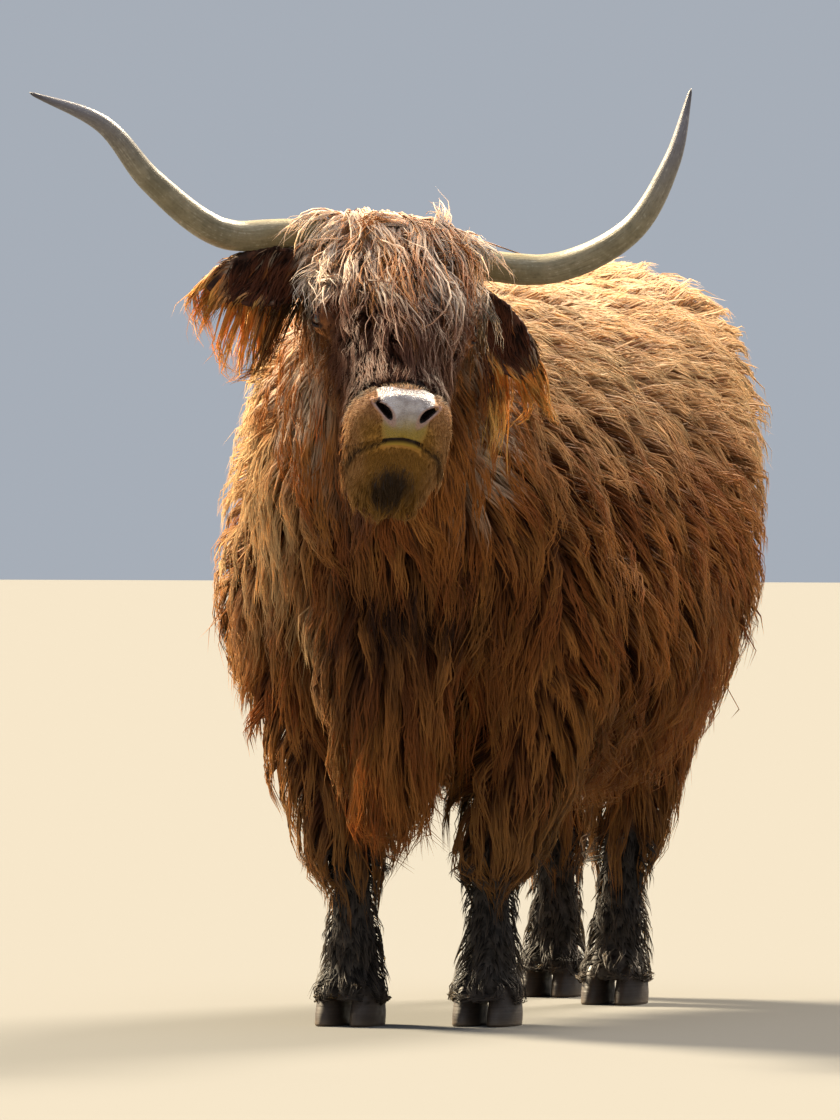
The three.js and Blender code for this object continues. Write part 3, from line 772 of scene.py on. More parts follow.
def refine(points, faces, chosen):
    """Cuts every face whose corners are all chosen into four; its neighbours are fitted to it."""
    mesh = bpy.data.meshes.new("refining")
    mesh.from_pydata(points.tolist(), [], faces)
    bm = bmesh.new()
    bm.from_mesh(mesh)
    bm.verts.ensure_lookup_table()
    picked = chosen(points)
    edges = {e for f in bm.faces if all(picked[v.index] for v in f.verts) for e in f.edges}
    bmesh.ops.subdivide_edges(bm, edges=list(edges), cuts=1, use_grid_fill=True)
    bmesh.ops.triangulate(bm, faces=[f for f in bm.faces if len(f.verts) > 4])
    points = np.array([v.co for v in bm.verts])
    faces = [[v.index for v in f.verts] for f in bm.faces]
    bm.free()
    bpy.data.meshes.remove(mesh)
    return points, faces


def near_features(stage):
    """Chooses the muzzle's front and the lids: 0 for the wide ring, 1 for what is finest in it."""
    def chosen(points):
        local = head_local(points)
        ax, y, z = np.abs(local[:, 0]), local[:, 1], local[:, 2]
        muzzle = (y < (-385, -400)[stage]) & (z > (-240, -150)[stage]) & (ax < 130)
        eyes = [np.linalg.norm(points - EYES[s], axis=1) < (31, 27)[stage] for s in SIDES]
        return muzzle | eyes[0] | eyes[1]
    return chosen


skin_points, skin_quads = surface_net(skin_values)
skin_points = settle(skin_field, skin_points)
skin_faces = skin_quads.tolist()
for stage in (0, 1):
    skin_points, skin_faces = refine(skin_points, skin_faces, near_features(stage))
    moved = near_features(stage)(skin_points)
    skin_points[moved] = settle(skin_field, skin_points[moved], 2, 2.5)


# ---------------------------------------------------------------- meshes
def add_object(name, data):
    made = bpy.data.objects.new(name, data)
    bpy.context.scene.collection.objects.link(made)
    return made


def mesh_object(name, points, faces):
    mesh = bpy.data.meshes.new(name)
    mesh.from_pydata(to_frame(np.asarray(points)).tolist(), [], faces)
    mesh.update()
    mesh.polygons.foreach_set("use_smooth", [True] * len(mesh.polygons))
    return add_object(name, mesh)


def give(made, name, values):
    """Stores four numbers on each vertex, which the materials read by name."""
    layer = made.data.attributes.new(name, "FLOAT_COLOR", "POINT")
    layer.data.foreach_set("color", np.asarray(values, np.float32).ravel())


# ---------------------------------------------------------------- where each hair region lies
def noise(p, scale, seed, parts=5):
    """Smooth noise of three numbers between about -1 and 1."""
    rng = np.random.default_rng(seed)
    k = unit(rng.normal(size=(parts, 3, 3))) * rng.uniform(0.6, 1.5, (parts, 3, 1)) * 2 * np.pi / scale
    phase = rng.uniform(0, 2 * np.pi, (parts, 3))
    return sum(np.sin(p @ k[i].T + phase[i]) for i in range(parts)) / math.sqrt(parts) * 0.8


triangles = np.array([[f[0], f[i], f[i + 1]] for f in skin_faces for i in range(1, len(f) - 1)])
a, b, c = (skin_points[triangles[:, i]] for i in range(3))
cross = np.cross(b - a, c - a)
tri_area = np.linalg.norm(cross, axis=1) / 2
tri_middle = (a + b + c) / 3
tri_normal = unit(cross)
tri_local = head_local(tri_middle)
tri_local_normal = tri_normal @ HEAD_TURN

near_form = {
    "body": far(tri_middle, body_naked),
    "breast": far(tri_middle, breast),
    **{n: np.minimum(*(far(tri_middle, limbs[n, s]) for s in SIDES)) for n in JOINTS},
    "tail": far(tri_middle, dock),
    "head": skull_naked.distance(tri_local) - 3,
    "ears": np.minimum(*(ear_distance(tri_middle, s) for s in SIDES)) - 2,
}
nearest = np.argmin(np.stack(list(near_form.values())), axis=0)
REGION = {n: nearest == i for i, n in enumerate(near_form)}
COLLAR_Y, COLLAR_LEAN, COLLAR_Z = -150, 0.325, 860      # where the neck's hair meets the trunk's
ahead_of_collar = tri_middle[:, 1] - COLLAR_LEAN * (tri_middle[:, 2] - COLLAR_Z) < COLLAR_Y
REGION["neck"] = REGION["body"] & ahead_of_collar
REGION["trunk"] = REGION["body"] & ~ahead_of_collar
SLEEVE_ROOTS = 292            # roots under this are the short dark hair of the lower legs
REGION["shanks"] = (REGION["fore"] | REGION["hind"]) & (tri_middle[:, 2] < SLEEVE_ROOTS)
for n in JOINTS:
    REGION[n] &= ~REGION["shanks"]


def roots(chosen, count, rng, denser):
    """Spreads roots over the chosen triangles, more of them where denser is high: places and normals."""
    total = np.cumsum(np.where(chosen, tri_area * denser, 0))
    pick = (np.arange(count) + rng.random(count)) / count * total[-1]
    t = np.minimum(np.searchsorted(total, pick), len(total) - 1)
    u, v = rng.random(count), rng.random(count)
    over = u + v > 1
    u, v = np.where(over, 1 - u, u), np.where(over, 1 - v, v)
    a, b, c = (skin_points[triangles[t, i]] for i in range(3))
    p = a + u[:, None] * (b - a) + v[:, None] * (c - a)
    return p, skin.slope(p, 4.0)


def spaced(points, gap, rng):
    """Indices of points that keep a gap between them, taken in a shuffled order."""
    taken, kept = {}, []
    cell = np.floor(points / gap).astype(int).tolist()
    around = list(product((-1, 0, 1), repeat=3))
    for i in rng.permutation(len(points)):
        x, y, z = cell[i]
        near = [j for dx, dy, dz in around for j in taken.get((x + dx, y + dy, z + dz), ())]
        if near and (((points[i] - points[near]) ** 2).sum(axis=1) < gap * gap).any():
            continue
        taken.setdefault((x, y, z), []).append(i)
        kept.append(i)
    return np.array(kept)


DOWN = np.array([0.0, 0.0, -1.0])


def grow(p, normal, style, steps=16):
    """Grows guide hairs: out of the skin, over it along their flow, and down under their weight."""
    length, lift = style["length"], style["lift"][:, None]
    d = unit(normal * lift + unit(style["flow"] + style["weight"][:, None] * DOWN) * (1 - lift))
    step = (length / steps)[:, None]
    path = [p]
    for i in range(steps):
        t = (i + 1) / steps
        want = style["flow"] * (1 - 0.45 * t) + (style["weight"] * (0.6 + 0.7 * t))[:, None] * DOWN
        swirl = noise(p, style["curl_size"], 5) + 0.55 * noise(p, 0.38 * style["curl_size"], 6)
        want = unit(want) + style["curl"][:, None] * swirl
        d = unit(d * 0.62 + unit(want) * 0.38)
        q = p + d * step
        f, g = solid.at(q), coat.at(q)
        out = solid.slope(q)
        deep = np.clip(f - g, 4, 160)
        rise = style["layer"] * deep * (1 - (1 - min(t * 1.35, 1)) ** 2) + 1.0
        q = q + out * np.clip(rise - f, 0, 0.75 * style["length"] / steps)[:, None]
        over = np.clip(g - style["proud"], 0, 0.9 * style["length"] / steps)
        q = q - coat.slope(q) * over[:, None]
        d = unit(q - p)
        p = p + d * step
        path.append(p)
    return np.stack(path, 1)


def along(paths, which, share):
    """Points on the chosen guide paths at shares of their length: (N, K, 3)."""
    steps = paths.shape[1] - 1
    at = np.clip(share * steps, 0, steps - 1e-6)
    i = at.astype(int)
    t = (at - i)[..., None]
    return paths[which[:, None], i] * (1 - t) + paths[which[:, None], i + 1] * t


def nearest_guides(p, guide):
    tree = KDTree(len(guide))
    for i, g in enumerate(guide):
        tree.insert(p[g], i)
    tree.balance()
    return np.array([tree.find(q)[1] for q in p])


def follow(p, guide, owner, style, t, rng):
    """Grows the guides and runs each lock beside its own, drawing in to it towards the tip."""
    of_guides = {key: v[guide] if np.ndim(v) else v for key, v in style.items()}
    paths = grow(p[guide], style["normal"][guide], of_guides)
    share = t * rng.uniform(0.62, 1.0, len(p))[:, None]
    stretch = (style["length"] / style["length"][guide][owner])[:, None]
    base = along(paths, owner, np.clip(share * np.clip(stretch, 0.5, 1.0), 0, 1))
    loose = rng.uniform(0.40, 1.08, len(guide))[owner]
    hold = (style["clump"] * loose * rng.uniform(0.75, 1.1, len(p)))[:, None]
    fade = 1 - np.clip(hold, 0, 0.97) * (1 - (1 - t) ** 1.6)
    return base + (p - p[guide][owner])[:, None, :] * fade[..., None]


def ripple(path, out, style, t, rng):
    """Fine waves along and off the body that grow to the tip, and a few locks that go astray."""
    count = len(path)
    length, wave = style["length"][:, None], style["wave"][:, None]
    phase, turns = rng.uniform(0, 2 * np.pi, (count, 2)), rng.uniform(0.7, 1.6, (count, 2))
    side = unit(np.cross(unit(np.gradient(path, axis=1)), out))
    for way, share, k in ((side, 1.0, slice(0, 1)), (out, 0.6, slice(1, 2))):
        size = share * (wave * length * t) * np.sin(2 * np.pi * turns[:, k] * t + phase[:, k])
        path = path + way * size[..., None]
    stray = (rng.random(count) < style["stray"])[:, None] * wave * length * t**1.5 * 4.0
    wild = rng.normal(size=(count, 1, 3)) * 0.6 + out * 0.5
    return path + wild * stray[..., None]


ROOT_DEPTH = 1.5              # how far a lock's root is sunk into the skin
UNDERCOAT = 0.42              # locks whose layer is below this are wider


def keep_between(path, out, p, style, t, keep_out):
    """Holds locks above the skin and inside the coat's outline, with their roots in the skin."""
    lift = np.clip(keep_out * np.clip(t * 3, 0, 1) - solid.at(path), 0, 25) * (t > 0)
    path = path + out * lift[..., None]
    past = np.clip(coat.at(path) - style["proud"][:, None], 0, 60)
    path = path - coat.slope(path) * past[..., None]
    path[:, 0] = p - style["normal"] * ROOT_DEPTH
    path[:, :, 2] = np.maximum(path[:, :, 2], 2.0)
    return path


def locks_of(chosen, count, gap, style_of, points, denser, seed, keep_out):
    """Hair locks of one piece: their paths, width, side and outward directions, and what colours them."""
    rng = np.random.default_rng(seed)
    p, normal = roots(chosen, count, rng, denser)
    style = style_with(rng, normal=normal, **style_of(p, normal))
    guide = spaced(p, gap, rng)
    owner = nearest_guides(p, guide)
    t = np.linspace(0, 1, points)[None, :]
    path = follow(p, guide, owner, style, t, rng)
    out = solid.slope(path)
    path = keep_between(ripple(path, out, style, t, rng), out, p, style, t, keep_out)
    tangent = unit(np.gradient(path, axis=1))
    side = unit(np.cross(tangent, out) + rng.normal(0, 0.35, count)[:, None, None] * out)
    group = rng.random(len(guide))[owner]
    return {
        "path": path, "side": side, "out": unit(np.cross(side, tangent)), "root": p,
        "outward": style["soft"] * solid.slope(path), "thick": style["thick"],
        "width": style["width"] * np.where(style["layer"] < UNDERCOAT, 1.7, 1.0),
        "rand": rng.random(count), "group": group, "marks": markings(p, normal),
    }


def lock_template(points):
    """The faces of one lock and their places on its patch: three sides, a cap, and a point at its tip."""
    faces, uv = [], []
    rings = points - 1
    for i in range(rings - 1):
        for j in range(3):
            a, b = 3 * i + j, 3 * i + (j + 1) % 3
            c, d = a + 3, b + 3
            lo, hi, l, r = i / rings, (i + 1) / rings, j / 3, (j + 1) / 3
            faces += [(a, b, d), (a, d, c)]
            uv += [((l, lo), (r, lo), (r, hi)), ((l, lo), (r, hi), (l, hi))]
    last = 3 * (rings - 1)
    for j in range(3):
        faces.append((last + j, last + (j + 1) % 3, 3 * rings))
        l, r, lo = j / 3, (j + 1) / 3, (rings - 1) / rings
        uv.append(((l, lo), (r, lo), ((l + r) / 2, 1)))
    faces.append((2, 1, 0))
    uv.append(((0.1, 0.0), (0.3, 0.0), (0.2, 0.1)))
    return np.array(faces), np.array(uv)


PATCH = 0.003                 # width of a lock's patch on the map


def lock_object(name, locks, unwrap):
    """One mesh of closed three-sided locks, thickest near their roots."""
    path, side, out = locks["path"], locks["side"], locks["out"]
    count, points, _ = path.shape
    t = np.linspace(0, 1, points)
    profile = (0.62 + 0.38 * np.clip(t / 0.22, 0, 1)) * (1 - t**1.7) ** 0.9
    w = locks["width"][:, None, None] * profile[None, :-1, None]
    body, s, o = path[:, :-1], side[:, :-1], out[:, :-1]
    thick = locks["thick"]
    ring = np.stack([
        body - s * w * 0.5 - o * w * thick * 0.35,
        body + s * w * 0.5 - o * w * thick * 0.35,
        body + o * w * thick * 0.65,
    ], 2).reshape(count, -1, 3)
    verts = np.concatenate([ring, path[:, -1:]], 1)
    each = verts.shape[1]
    template, uv = lock_template(points)
    # Seen along the lock from its root, side then out runs clockwise, so faces are turned round.
    template, uv = template[:, ::-1], uv[:, ::-1]
    faces = (template[None] + (np.arange(count) * each)[:, None, None]).reshape(-1, 3)
    mesh = bpy.data.meshes.new(name)
    mesh.vertices.add(count * each)
    mesh.vertices.foreach_set("co", to_frame(verts.reshape(-1, 3)).astype(np.float32).ravel())
    mesh.loops.add(faces.size)
    mesh.loops.foreach_set("vertex_index", faces.astype(np.int32).ravel())
    mesh.polygons.add(len(faces))
    mesh.polygons.foreach_set("loop_start", np.arange(0, faces.size, 3, dtype=np.int32))
    mesh.polygons.foreach_set("use_smooth", np.ones(len(faces), bool))
    layer = mesh.uv_layers.new(name="OFBake")
    spots = unwrap(locks["root"])[:, None, None, :] + (uv[None] - 0.5) * PATCH
    layer.data.foreach_set("uv", np.clip(spots, 0, 1).astype(np.float32).ravel())
    mesh.update()
    mesh.validate()
    # Each lock is shaded partly as the body under it is, which makes the coat soft.
    lean = locks["outward"]
    low = lean[:, :-1] - 0.4 * o
    normals = np.stack([low - 0.85 * s, low + 0.85 * s, lean[:, :-1] + o], 2)
    normals = np.concatenate([normals.reshape(count, -1, 3), lean[:, -1:] + out[:, -1:]], 1)
    mesh.normals_split_custom_set_from_vertices(unit(normals).reshape(-1, 3).astype(np.float32))
    made = add_object(name, mesh)
    lock = np.empty((count, each, 4))
    lock[..., 0] = np.append(np.repeat(t[:-1], 3), 1.0)
    lock[..., 1] = np.append(np.tile([0.0, 1.0, 0.5], points - 1), 0.5)
    lock[..., 2], lock[..., 3] = locks["rand"][:, None], locks["group"][:, None]
    give(made, "lock", lock)
    for mark, shares in locks["marks"].items():
        give(made, mark, np.repeat(shares[:, None], each, axis=1))
    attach(made, "root")
    return made


# ---------------------------------------------------------------- markings of skin and coat
def bare(local):
    """Where the muzzle has no hair: the nose pad, the lower lip's middle, painted as a bright highlight, and
    the nostrils; and the mouth's line and corners, painted as shade.
    """
    x, y, z = muzzle_x(local), local[:, 1], local[:, 2]
    half = np.interp(z, [-75, -52, -24, -12, 0], [27, 33, 35, 47, 54])
    soft = np.interp(z, [-66, -36], [12, 3])
    rounded = y - 24 * (x / 45) ** 2
    pad = ramp(np.abs(x), half + soft, half - soft) * ramp(rounded, -405, -413) * ramp(z, 8, 3)
    pad = pad * ramp(z, mouth_z(x, y) - 3, mouth_z(x, y) + 3)
    rim = nostril_distance(x, local)
    pad = np.maximum(pad, 0.8 * ramp(rim, 5, 2) * ramp(y, -405, -415))
    # The middle band of the lower lip is bare, and stained yellow painted bright as a highlight.
    lip_highlight = ramp(np.abs(z - mouth_z(x, y) + 4), 5.5, 2.5) * ramp(y, -350, -365) * ramp(np.abs(x), 42, 14)
    inside = 0.5 * ramp(rim, 10, 2.5) + 0.5 * ramp(rim, 1.4, 0.4)
    # The mouth's line and its corners are painted shade in the crease of the lips.
    corner = bell(np.abs(x), 60, 12) * bell(z, mouth_z(x, y), 7) * ramp(y, -380, -400)
    line = np.maximum(bell(z, mouth_z(x, y), 1.9) * ramp(y, -330, -350), corner)
    return np.stack([pad, lip_highlight, inside, line], 1)


def over_horns(local):
    """How far the hair of the poll parts to either side, over the horns' roots."""
    x, y, z = np.abs(local[:, 0]), local[:, 1], local[:, 2]
    return ramp(x, 38, 88) * ramp(x, 135, 112) * ramp(y, -120, -50) * ramp(z, -60, -20)


def dark_features(side, y, z, wobble, fine):
    """The chin's dark patch, and painted shade in the fold over the muzzle, the mouth's line and its corners.
    """
    ahead = fold_y(z) - y
    chin = bell(side + 7 * fine, 0, 29) * bell(z + 6 * wobble, -150, 25) * ramp(y, -385, -415)
    # The fold is painted shade: dark hair at the crease where the face's hair overhangs it; the mouth's line
    # and corners are painted shade in the crease of the lips.
    crease = np.maximum(bell(ahead, 8, 8), 0.75 * bell(ahead, -9, 9)) * ramp(z, -84, -58)
    mouth = bell(z, mouth_z(side, y) - 1, 3.2) * ramp(y, -350, -370)
    corner = bell(np.abs(side), 62, 15) * bell(z, mouth_z(side, y) - 2, 8) * ramp(y, -360, -385)
    return np.clip(np.maximum.reduce([1.5 * chin, crease * ramp(fine, -1.2, 0.1), mouth, corner]), 0, 1)


def ear_marks(p, normal, fine):
    """The brown of the ears, deepest inside them, and the fringe of lower edge and tip, ginger and painted
    bright as if lit through from behind.
    """
    ear, fringe = np.zeros(len(p)), np.zeros(len(p))
    for s in SIDES:
        e = ear_local(p, s)
        close = ramp(ear_distance(p, s), 14, 5) * ramp(e[:, 0], 0, 25)
        facing = ramp((normal @ EAR_TURN[s])[:, 1], 0.45, -0.1)
        lower = ramp(e[:, 2], -10, -22) * ramp(e[:, 0] + 14 * fine, 56, 94)
        edge = np.maximum(lower, ramp(e[:, 0], 120, 148))
        fringe = np.maximum(fringe, close * edge)
        ear = np.maximum(ear, close * np.maximum(facing, 0.5) * (1 - 0.75 * edge))
    return ear, fringe


DARK_PATCHES = [((372, 380, 690), 75), ((330, -20, 900), 70)]


def chest_shade_and_patches(p, normal, wobble, in_head):
    """Painted shade down the chest and under the throat, where the head shades the hair, and darker patches
    on the left flank.
    """
    x, y, z = p.T
    chest = ramp(-normal[:, 1], 0.05, 0.6) * bell(z, 660, 125) * bell(x, 20, 150) * (y < -60)
    throat = 0.8 * bell(z, 800, 90) * bell(x, 70, 70) * (y < -150) * (1 - in_head)
    patches = sum(bell(np.linalg.norm(p - at, axis=1), 0, size) for at, size in DARK_PATCHES)
    return np.clip(np.maximum(np.maximum(chest, throat) * (0.8 + 0.5 * wobble), 0.8 * patches), 0, 1)


def markings(p, normal):
    """Three sets of four shares, 0 to 1, for skin and coat alike.

    marks holds the dark lower legs, sun-bleached hair with painted sunlight on the back and the sunward side,
    grass stain and the ears' brown; tones the face's painted cool shade, duller hair low down, warm cheeks,
    and the black of eyes' rims and chin with painted shade in the fold, the mouth and its corners; lights the
    crown's pale hair, partly painted sunlight, the ears' fringe painted bright as if lit from behind, slow
    mottling, and painted shade on chest and throat with darker flank patches.
    """
    local, height = head_local(p), p[:, 2]
    x, y, z = local.T
    wobble, fine = noise(p, 70, 21)[:, 0], noise(p, 24, 22)[:, 0]
    in_head = ramp(np.linalg.norm((local - (0, -200, -60)) / (1, 1.1, 1.15), axis=1), 335, 275)
    side = muzzle_x(local)
    before_fold = ramp(fold_y(z) - y, 0, 10)

    leg_gap = np.minimum.reduce([np.hypot(p[:, 0] - x, p[:, 1] - y - 25) for x, y in FEET.values()])
    dark = ramp(height + 16 * wobble, 318, 262) * (leg_gap < 150)
    # Sun-bleached hair, partly painted sunlight: paler where the coat faces up on the back and rump and where
    # the neck and shoulder face the sun; the muzzle's bulge is a little paler too.
    hind = ramp(p[:, 1], 450, 1000)
    back = ramp(normal[:, 2] + 0.6 * hind, -0.15, 0.6) * ramp(height + 50 * wobble + 80 * hind, 790, 1020)
    sunny = ramp(-normal[:, 0], 0.35, 0.85) * ramp(p[:, 1], 60, -140) * ramp(height + 60 * wobble, 540, 800)
    sunlit_bleach = np.maximum(back * 0.9, sunny * 0.9) * (1 - in_head) + 0.34 * in_head * before_fold
    middle = ramp(np.abs(side) + 8 * wobble, 64, 34)
    stain = in_head * ramp(y, -395, -425) * ramp(z + 6 * wobble, -24, -54) * mix(0.28, 1.0, middle)
    stain = stain * (1 - 0.5 * ramp(z, -190, -225))
    stain = np.maximum(stain, 0.5 * in_head * ramp(y, -380, -420) * bell(z, -200, 24) * middle)
    ear, fringe = ear_marks(p, normal, fine)

    # Painted cool shade over the front of the face and the lower forelock, hardly any before the fold.
    face_shade = in_head * ramp(y, -10, -110) * ramp(np.abs(x) + 0.3 * (-50 - z) + 12 * wobble, 122, 72)
    face_shade = face_shade * (1 - 0.85 * before_fold)
    # Hair is duller and darker towards the bottom of the body.
    low_dull = ramp(height + 40 * wobble, 560, 330) * (1 - in_head)
    warm = in_head * np.maximum(ramp(np.abs(x) + 10 * wobble, 70, 105) * ramp(z, 40, 0), before_fold)
    beard = np.maximum(ramp(z, -165, -195), ramp(np.abs(side), 52, 72))
    warm = np.maximum(warm, in_head * ramp(y, -330, -380) * beard)
    rims = [ramp(eye_hollow(p, s), 6.0, 1.5) for s in SIDES]
    black = np.maximum.reduce([*rims, in_head * dark_features(side, y, z, wobble, fine)])

    # Pale hair of the crown, partly painted sunlight on the top of the head.
    sunlit_crown = in_head * ramp(y + 16 * wobble, -165, -95) * ramp(normal[:, 2], -0.8, -0.1)
    sunlit_crown = 0.5 * sunlit_crown * (1 + over_horns(local))
    slow = np.clip(noise(p, 210, 23)[:, 0] * 0.35 + noise(p, 90, 24)[:, 0] * 0.2 + 0.5, 0, 1)
    shade_patches = chest_shade_and_patches(p, normal, wobble, in_head)
    return {
        "marks": np.stack([dark, sunlit_bleach, stain, ear], 1),
        "tones": np.stack([face_shade, low_dull, warm, black], 1),
        "lights": np.stack([sunlit_crown, fringe, slow, shade_patches], 1),
    }


# ---------------------------------------------------------------- the skin
skin_object = mesh_object("skin", skin_points, skin_faces)
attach(skin_object, "root")
FLESH = ["trunk", "neck", "brisket", "head", "jaw_lower", "forelock", "ear_left", "ear_right", "tail"]
FLESH.append("tail_switch")
LEG_NODES = product(("upper", "lower"), ("fore", "hind"), ("left", "right"))
FLESH += [f"leg_{part}_{name}_{side}" for part, name, side in LEG_NODES]
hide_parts(*FLESH)
skin_marks = markings(skin_points, skin.slope(skin_points, 3.0))
# The fringe is hair only: the skin under it is as brown as the rest of the ear.
skin_marks["marks"][:, 3] = np.maximum(skin_marks["marks"][:, 3], skin_marks["lights"][:, 1])
skin_marks["lights"][:, 1] = 0
for mark, shares in skin_marks.items():
    give(skin_object, mark, shares)
give(skin_object, "bare", bare(head_local(skin_points)))


# ---------------------------------------------------------------- how the coat lies, region by region
# flow is the way a lock lies and weight how much it hangs; lift is how far it stands off at its root;
# layer is its height within the coat and proud how far past the coat's outline its tip may reach, with
# halo the share of locks that reach further; curl and curl_size are how the flow swirls, clump how far
# locks draw together, wave how they ripple and stray the share that strays; thick is a lock's depth
# for its width, and soft how much of the body's own shading it takes on.
PLAIN = {
    "weight": 1.0, "lift": 0.35, "layer": (0.35, 1.0), "proud": (-14, 5), "halo": 0.05, "curl": 0.3,
    "curl_size": 170.0, "clump": 0.78, "wave": 0.03, "stray": 0.05, "thick": 0.42, "soft": 1.1,
}


def full(value, n):
    return np.broadcast_to(np.asarray(value, float), (n,)).copy()


def columns(*parts):
    n = max(np.size(v) for v in parts)
    return np.stack([full(v, n) for v in parts], 1)


def style_with(rng, **own):
    """A region's own settings over the plain ones, for each root, with what varies by chance."""
    style = {**PLAIN, **own}
    n = len(style["flow"])
    for key in ("length", "width", "weight", "lift", "curl", "clump", "wave", "stray"):
        style[key] = full(style[key], n)
    style["width"] = style["width"] * rng.uniform(0.7, 1.3, n)
    style["layer"] = rng.uniform(*style["layer"], n)
    style["proud"] = rng.uniform(*style["proud"], n) + rng.uniform(8, 34, n) * (rng.random(n) < style["halo"])
    return style


def trunk_style(p, normal):
    """Swept back along the top, turning down over the ribs, and hanging in long locks at the belly."""
    z, top = p[:, 2], ramp(normal[:, 2], 0.3, 0.9)
    back = 0.14 + 0.90 * ramp(z, 740, 1110) + 0.34 * noise(p, 330, 31)[:, 0] * ramp(z, 560, 800)
    rump = ramp(p[:, 1], 900, 1090)
    aside = 0.5 * np.sign(p[:, 0]) * top + normal[:, 0] * 0.35 * rump
    under = ramp(normal[:, 2], -0.25, -0.75)
    return {
        "flow": columns(aside, back * (1 - 0.6 * rump), 0),
        "length": 122 + 62 * ramp(z, 1000, 560) + 55 * under, "width": 4.0,
        "weight": 0.40 + 0.80 * ramp(z, 1090, 800), "lift": 0.33 + 0.20 * top, "curl": 0.45, "clump": 0.70,
        "wave": 0.04, "stray": 0.08, "proud": (-14, 5 + 42 * under), "halo": 0.2,
    }


def neck_style(p, normal):
    """Falls to both sides from the crest, down and a little back."""
    crest = np.interp(p[:, 1], [-500, -330, -150], [100, 48, 12])
    top = ramp(normal[:, 2], 0.3, 0.9)
    away = ramp(np.abs(normal[:, 0]), 0.3, 0.8)
    back = (0.15 + 0.45 * away) * ramp(p[:, 2], 640, 960) + 0.25 * top
    return {
        "flow": columns(0.7 * np.sign(p[:, 0] - crest) * top, back, 0),
        "length": 120 + 45 * ramp(p[:, 2], 1050, 700), "width": 3.8,
        "curl": 0.42, "clump": 0.70, "wave": 0.04, "stray": 0.08, "halo": 0.1,
    }


def breast_style(p, normal):
    hem = ramp(p[:, 2], 620, 480)
    return {
        "flow": columns(0.001 * p[:, 0], 0, 0), "length": 150 + 90 * hem, "width": 3.8,
        "lift": 0.3, "curl": 0.32, "clump": 0.72, "wave": 0.04, "proud": (-14, 5 + 55 * hem),
        "layer": (0.3, 1.0),
    }


def sleeve_style(p, normal):
    """The shaggy upper legs, longest at the hem of the sleeve."""
    return {
        "flow": columns(normal[:, 0] * 0.12, normal[:, 1] * 0.12, 0),
        "length": 112 + 62 * ramp(p[:, 2], 560, 380), "width": 3.9,
        "weight": 1.1, "lift": 0.36, "curl": 0.28,
    }


def shank_style(p, normal):
    """Short wet hair in spikes that stand away below, longest behind the fetlock."""
    behind = ramp(normal[:, 1], 0.1, 0.8) * bell(p[:, 2], 120, 70)
    length = 46 + 26 * behind + 26 * ramp(p[:, 2], 190, 290) + 30 * ramp(p[:, 2], 120, 60)
    out = 0.5 - 0.3 * ramp(p[:, 2], 120, 70)
    return {
        "flow": columns(normal[:, 0] * out, normal[:, 1] * out, 0), "length": length, "width": 3.0,
        "weight": 1.3, "lift": 0.36, "curl_size": 60.0, "clump": 0.85, "layer": (0.3, 1.1),
        "stray": 0.08, "proud": (-6, 12), "halo": 0.0,
    }


def tail_style(p, normal):
    back = normal[:, 1] * 0.2 + 0.1 * ramp(p[:, 2], 1000, 1080)
    return {
        "flow": columns(normal[:, 0] * 0.25, back, 0),
        "length": 90 + 200 * ramp(p[:, 2], 900, 620), "width": 4.2,
        "weight": 1.2, "curl": 0.25, "layer": (0.3, 1.1), "proud": (-10, 4), "halo": 0.0,
    }


def in_world(flow):
    return flow @ HEAD_TURN.T


def forelock_style(p, normal):
    """From between the horns forward over the brow, drawing together over the nose and passing the eyes."""
    local = head_local(p)
    x, y = local[:, 0], local[:, 1]
    outer = ramp(np.abs(x), 62, 100)
    wisp = ramp(noise(p, 38, 43)[:, 0], 0.45, 0.9) * ramp(y, -90, -50) * ramp(np.abs(x), 95, 70)
    over_horn = over_horns(local)
    flow = columns(mix(-0.0030 * x, 0.0035 * x, outer), -1.0, 0.02 - 0.32 * outer)
    flow = in_world(mix(flow, columns(np.sign(x), -0.40, 0.26), over_horn[:, None]))
    length = np.clip(y + 385, 120, 310) * mix(1, 0.42, ramp(np.abs(x), 34, 88))
    return {
        "flow": mix(flow, columns(-0.5, 0.2, 1.0), 0.8 * wisp[:, None]),
        "length": mix(mix(length, 160, over_horn), 84, wisp), "width": 3.1,
        "weight": mix(mix(0.45, 0.55, over_horn), 0.3, wisp), "lift": 0.40 + 0.1 * ramp(y, -60, 10),
        "curl_size": 105.0, "clump": 0.58, "wave": 0.045, "stray": 0.14,
        "proud": (-26 + 20 * wisp, 6 + 46 * over_horn + 40 * wisp), "layer": (0.2, 0.9), "halo": 0.12,
    }


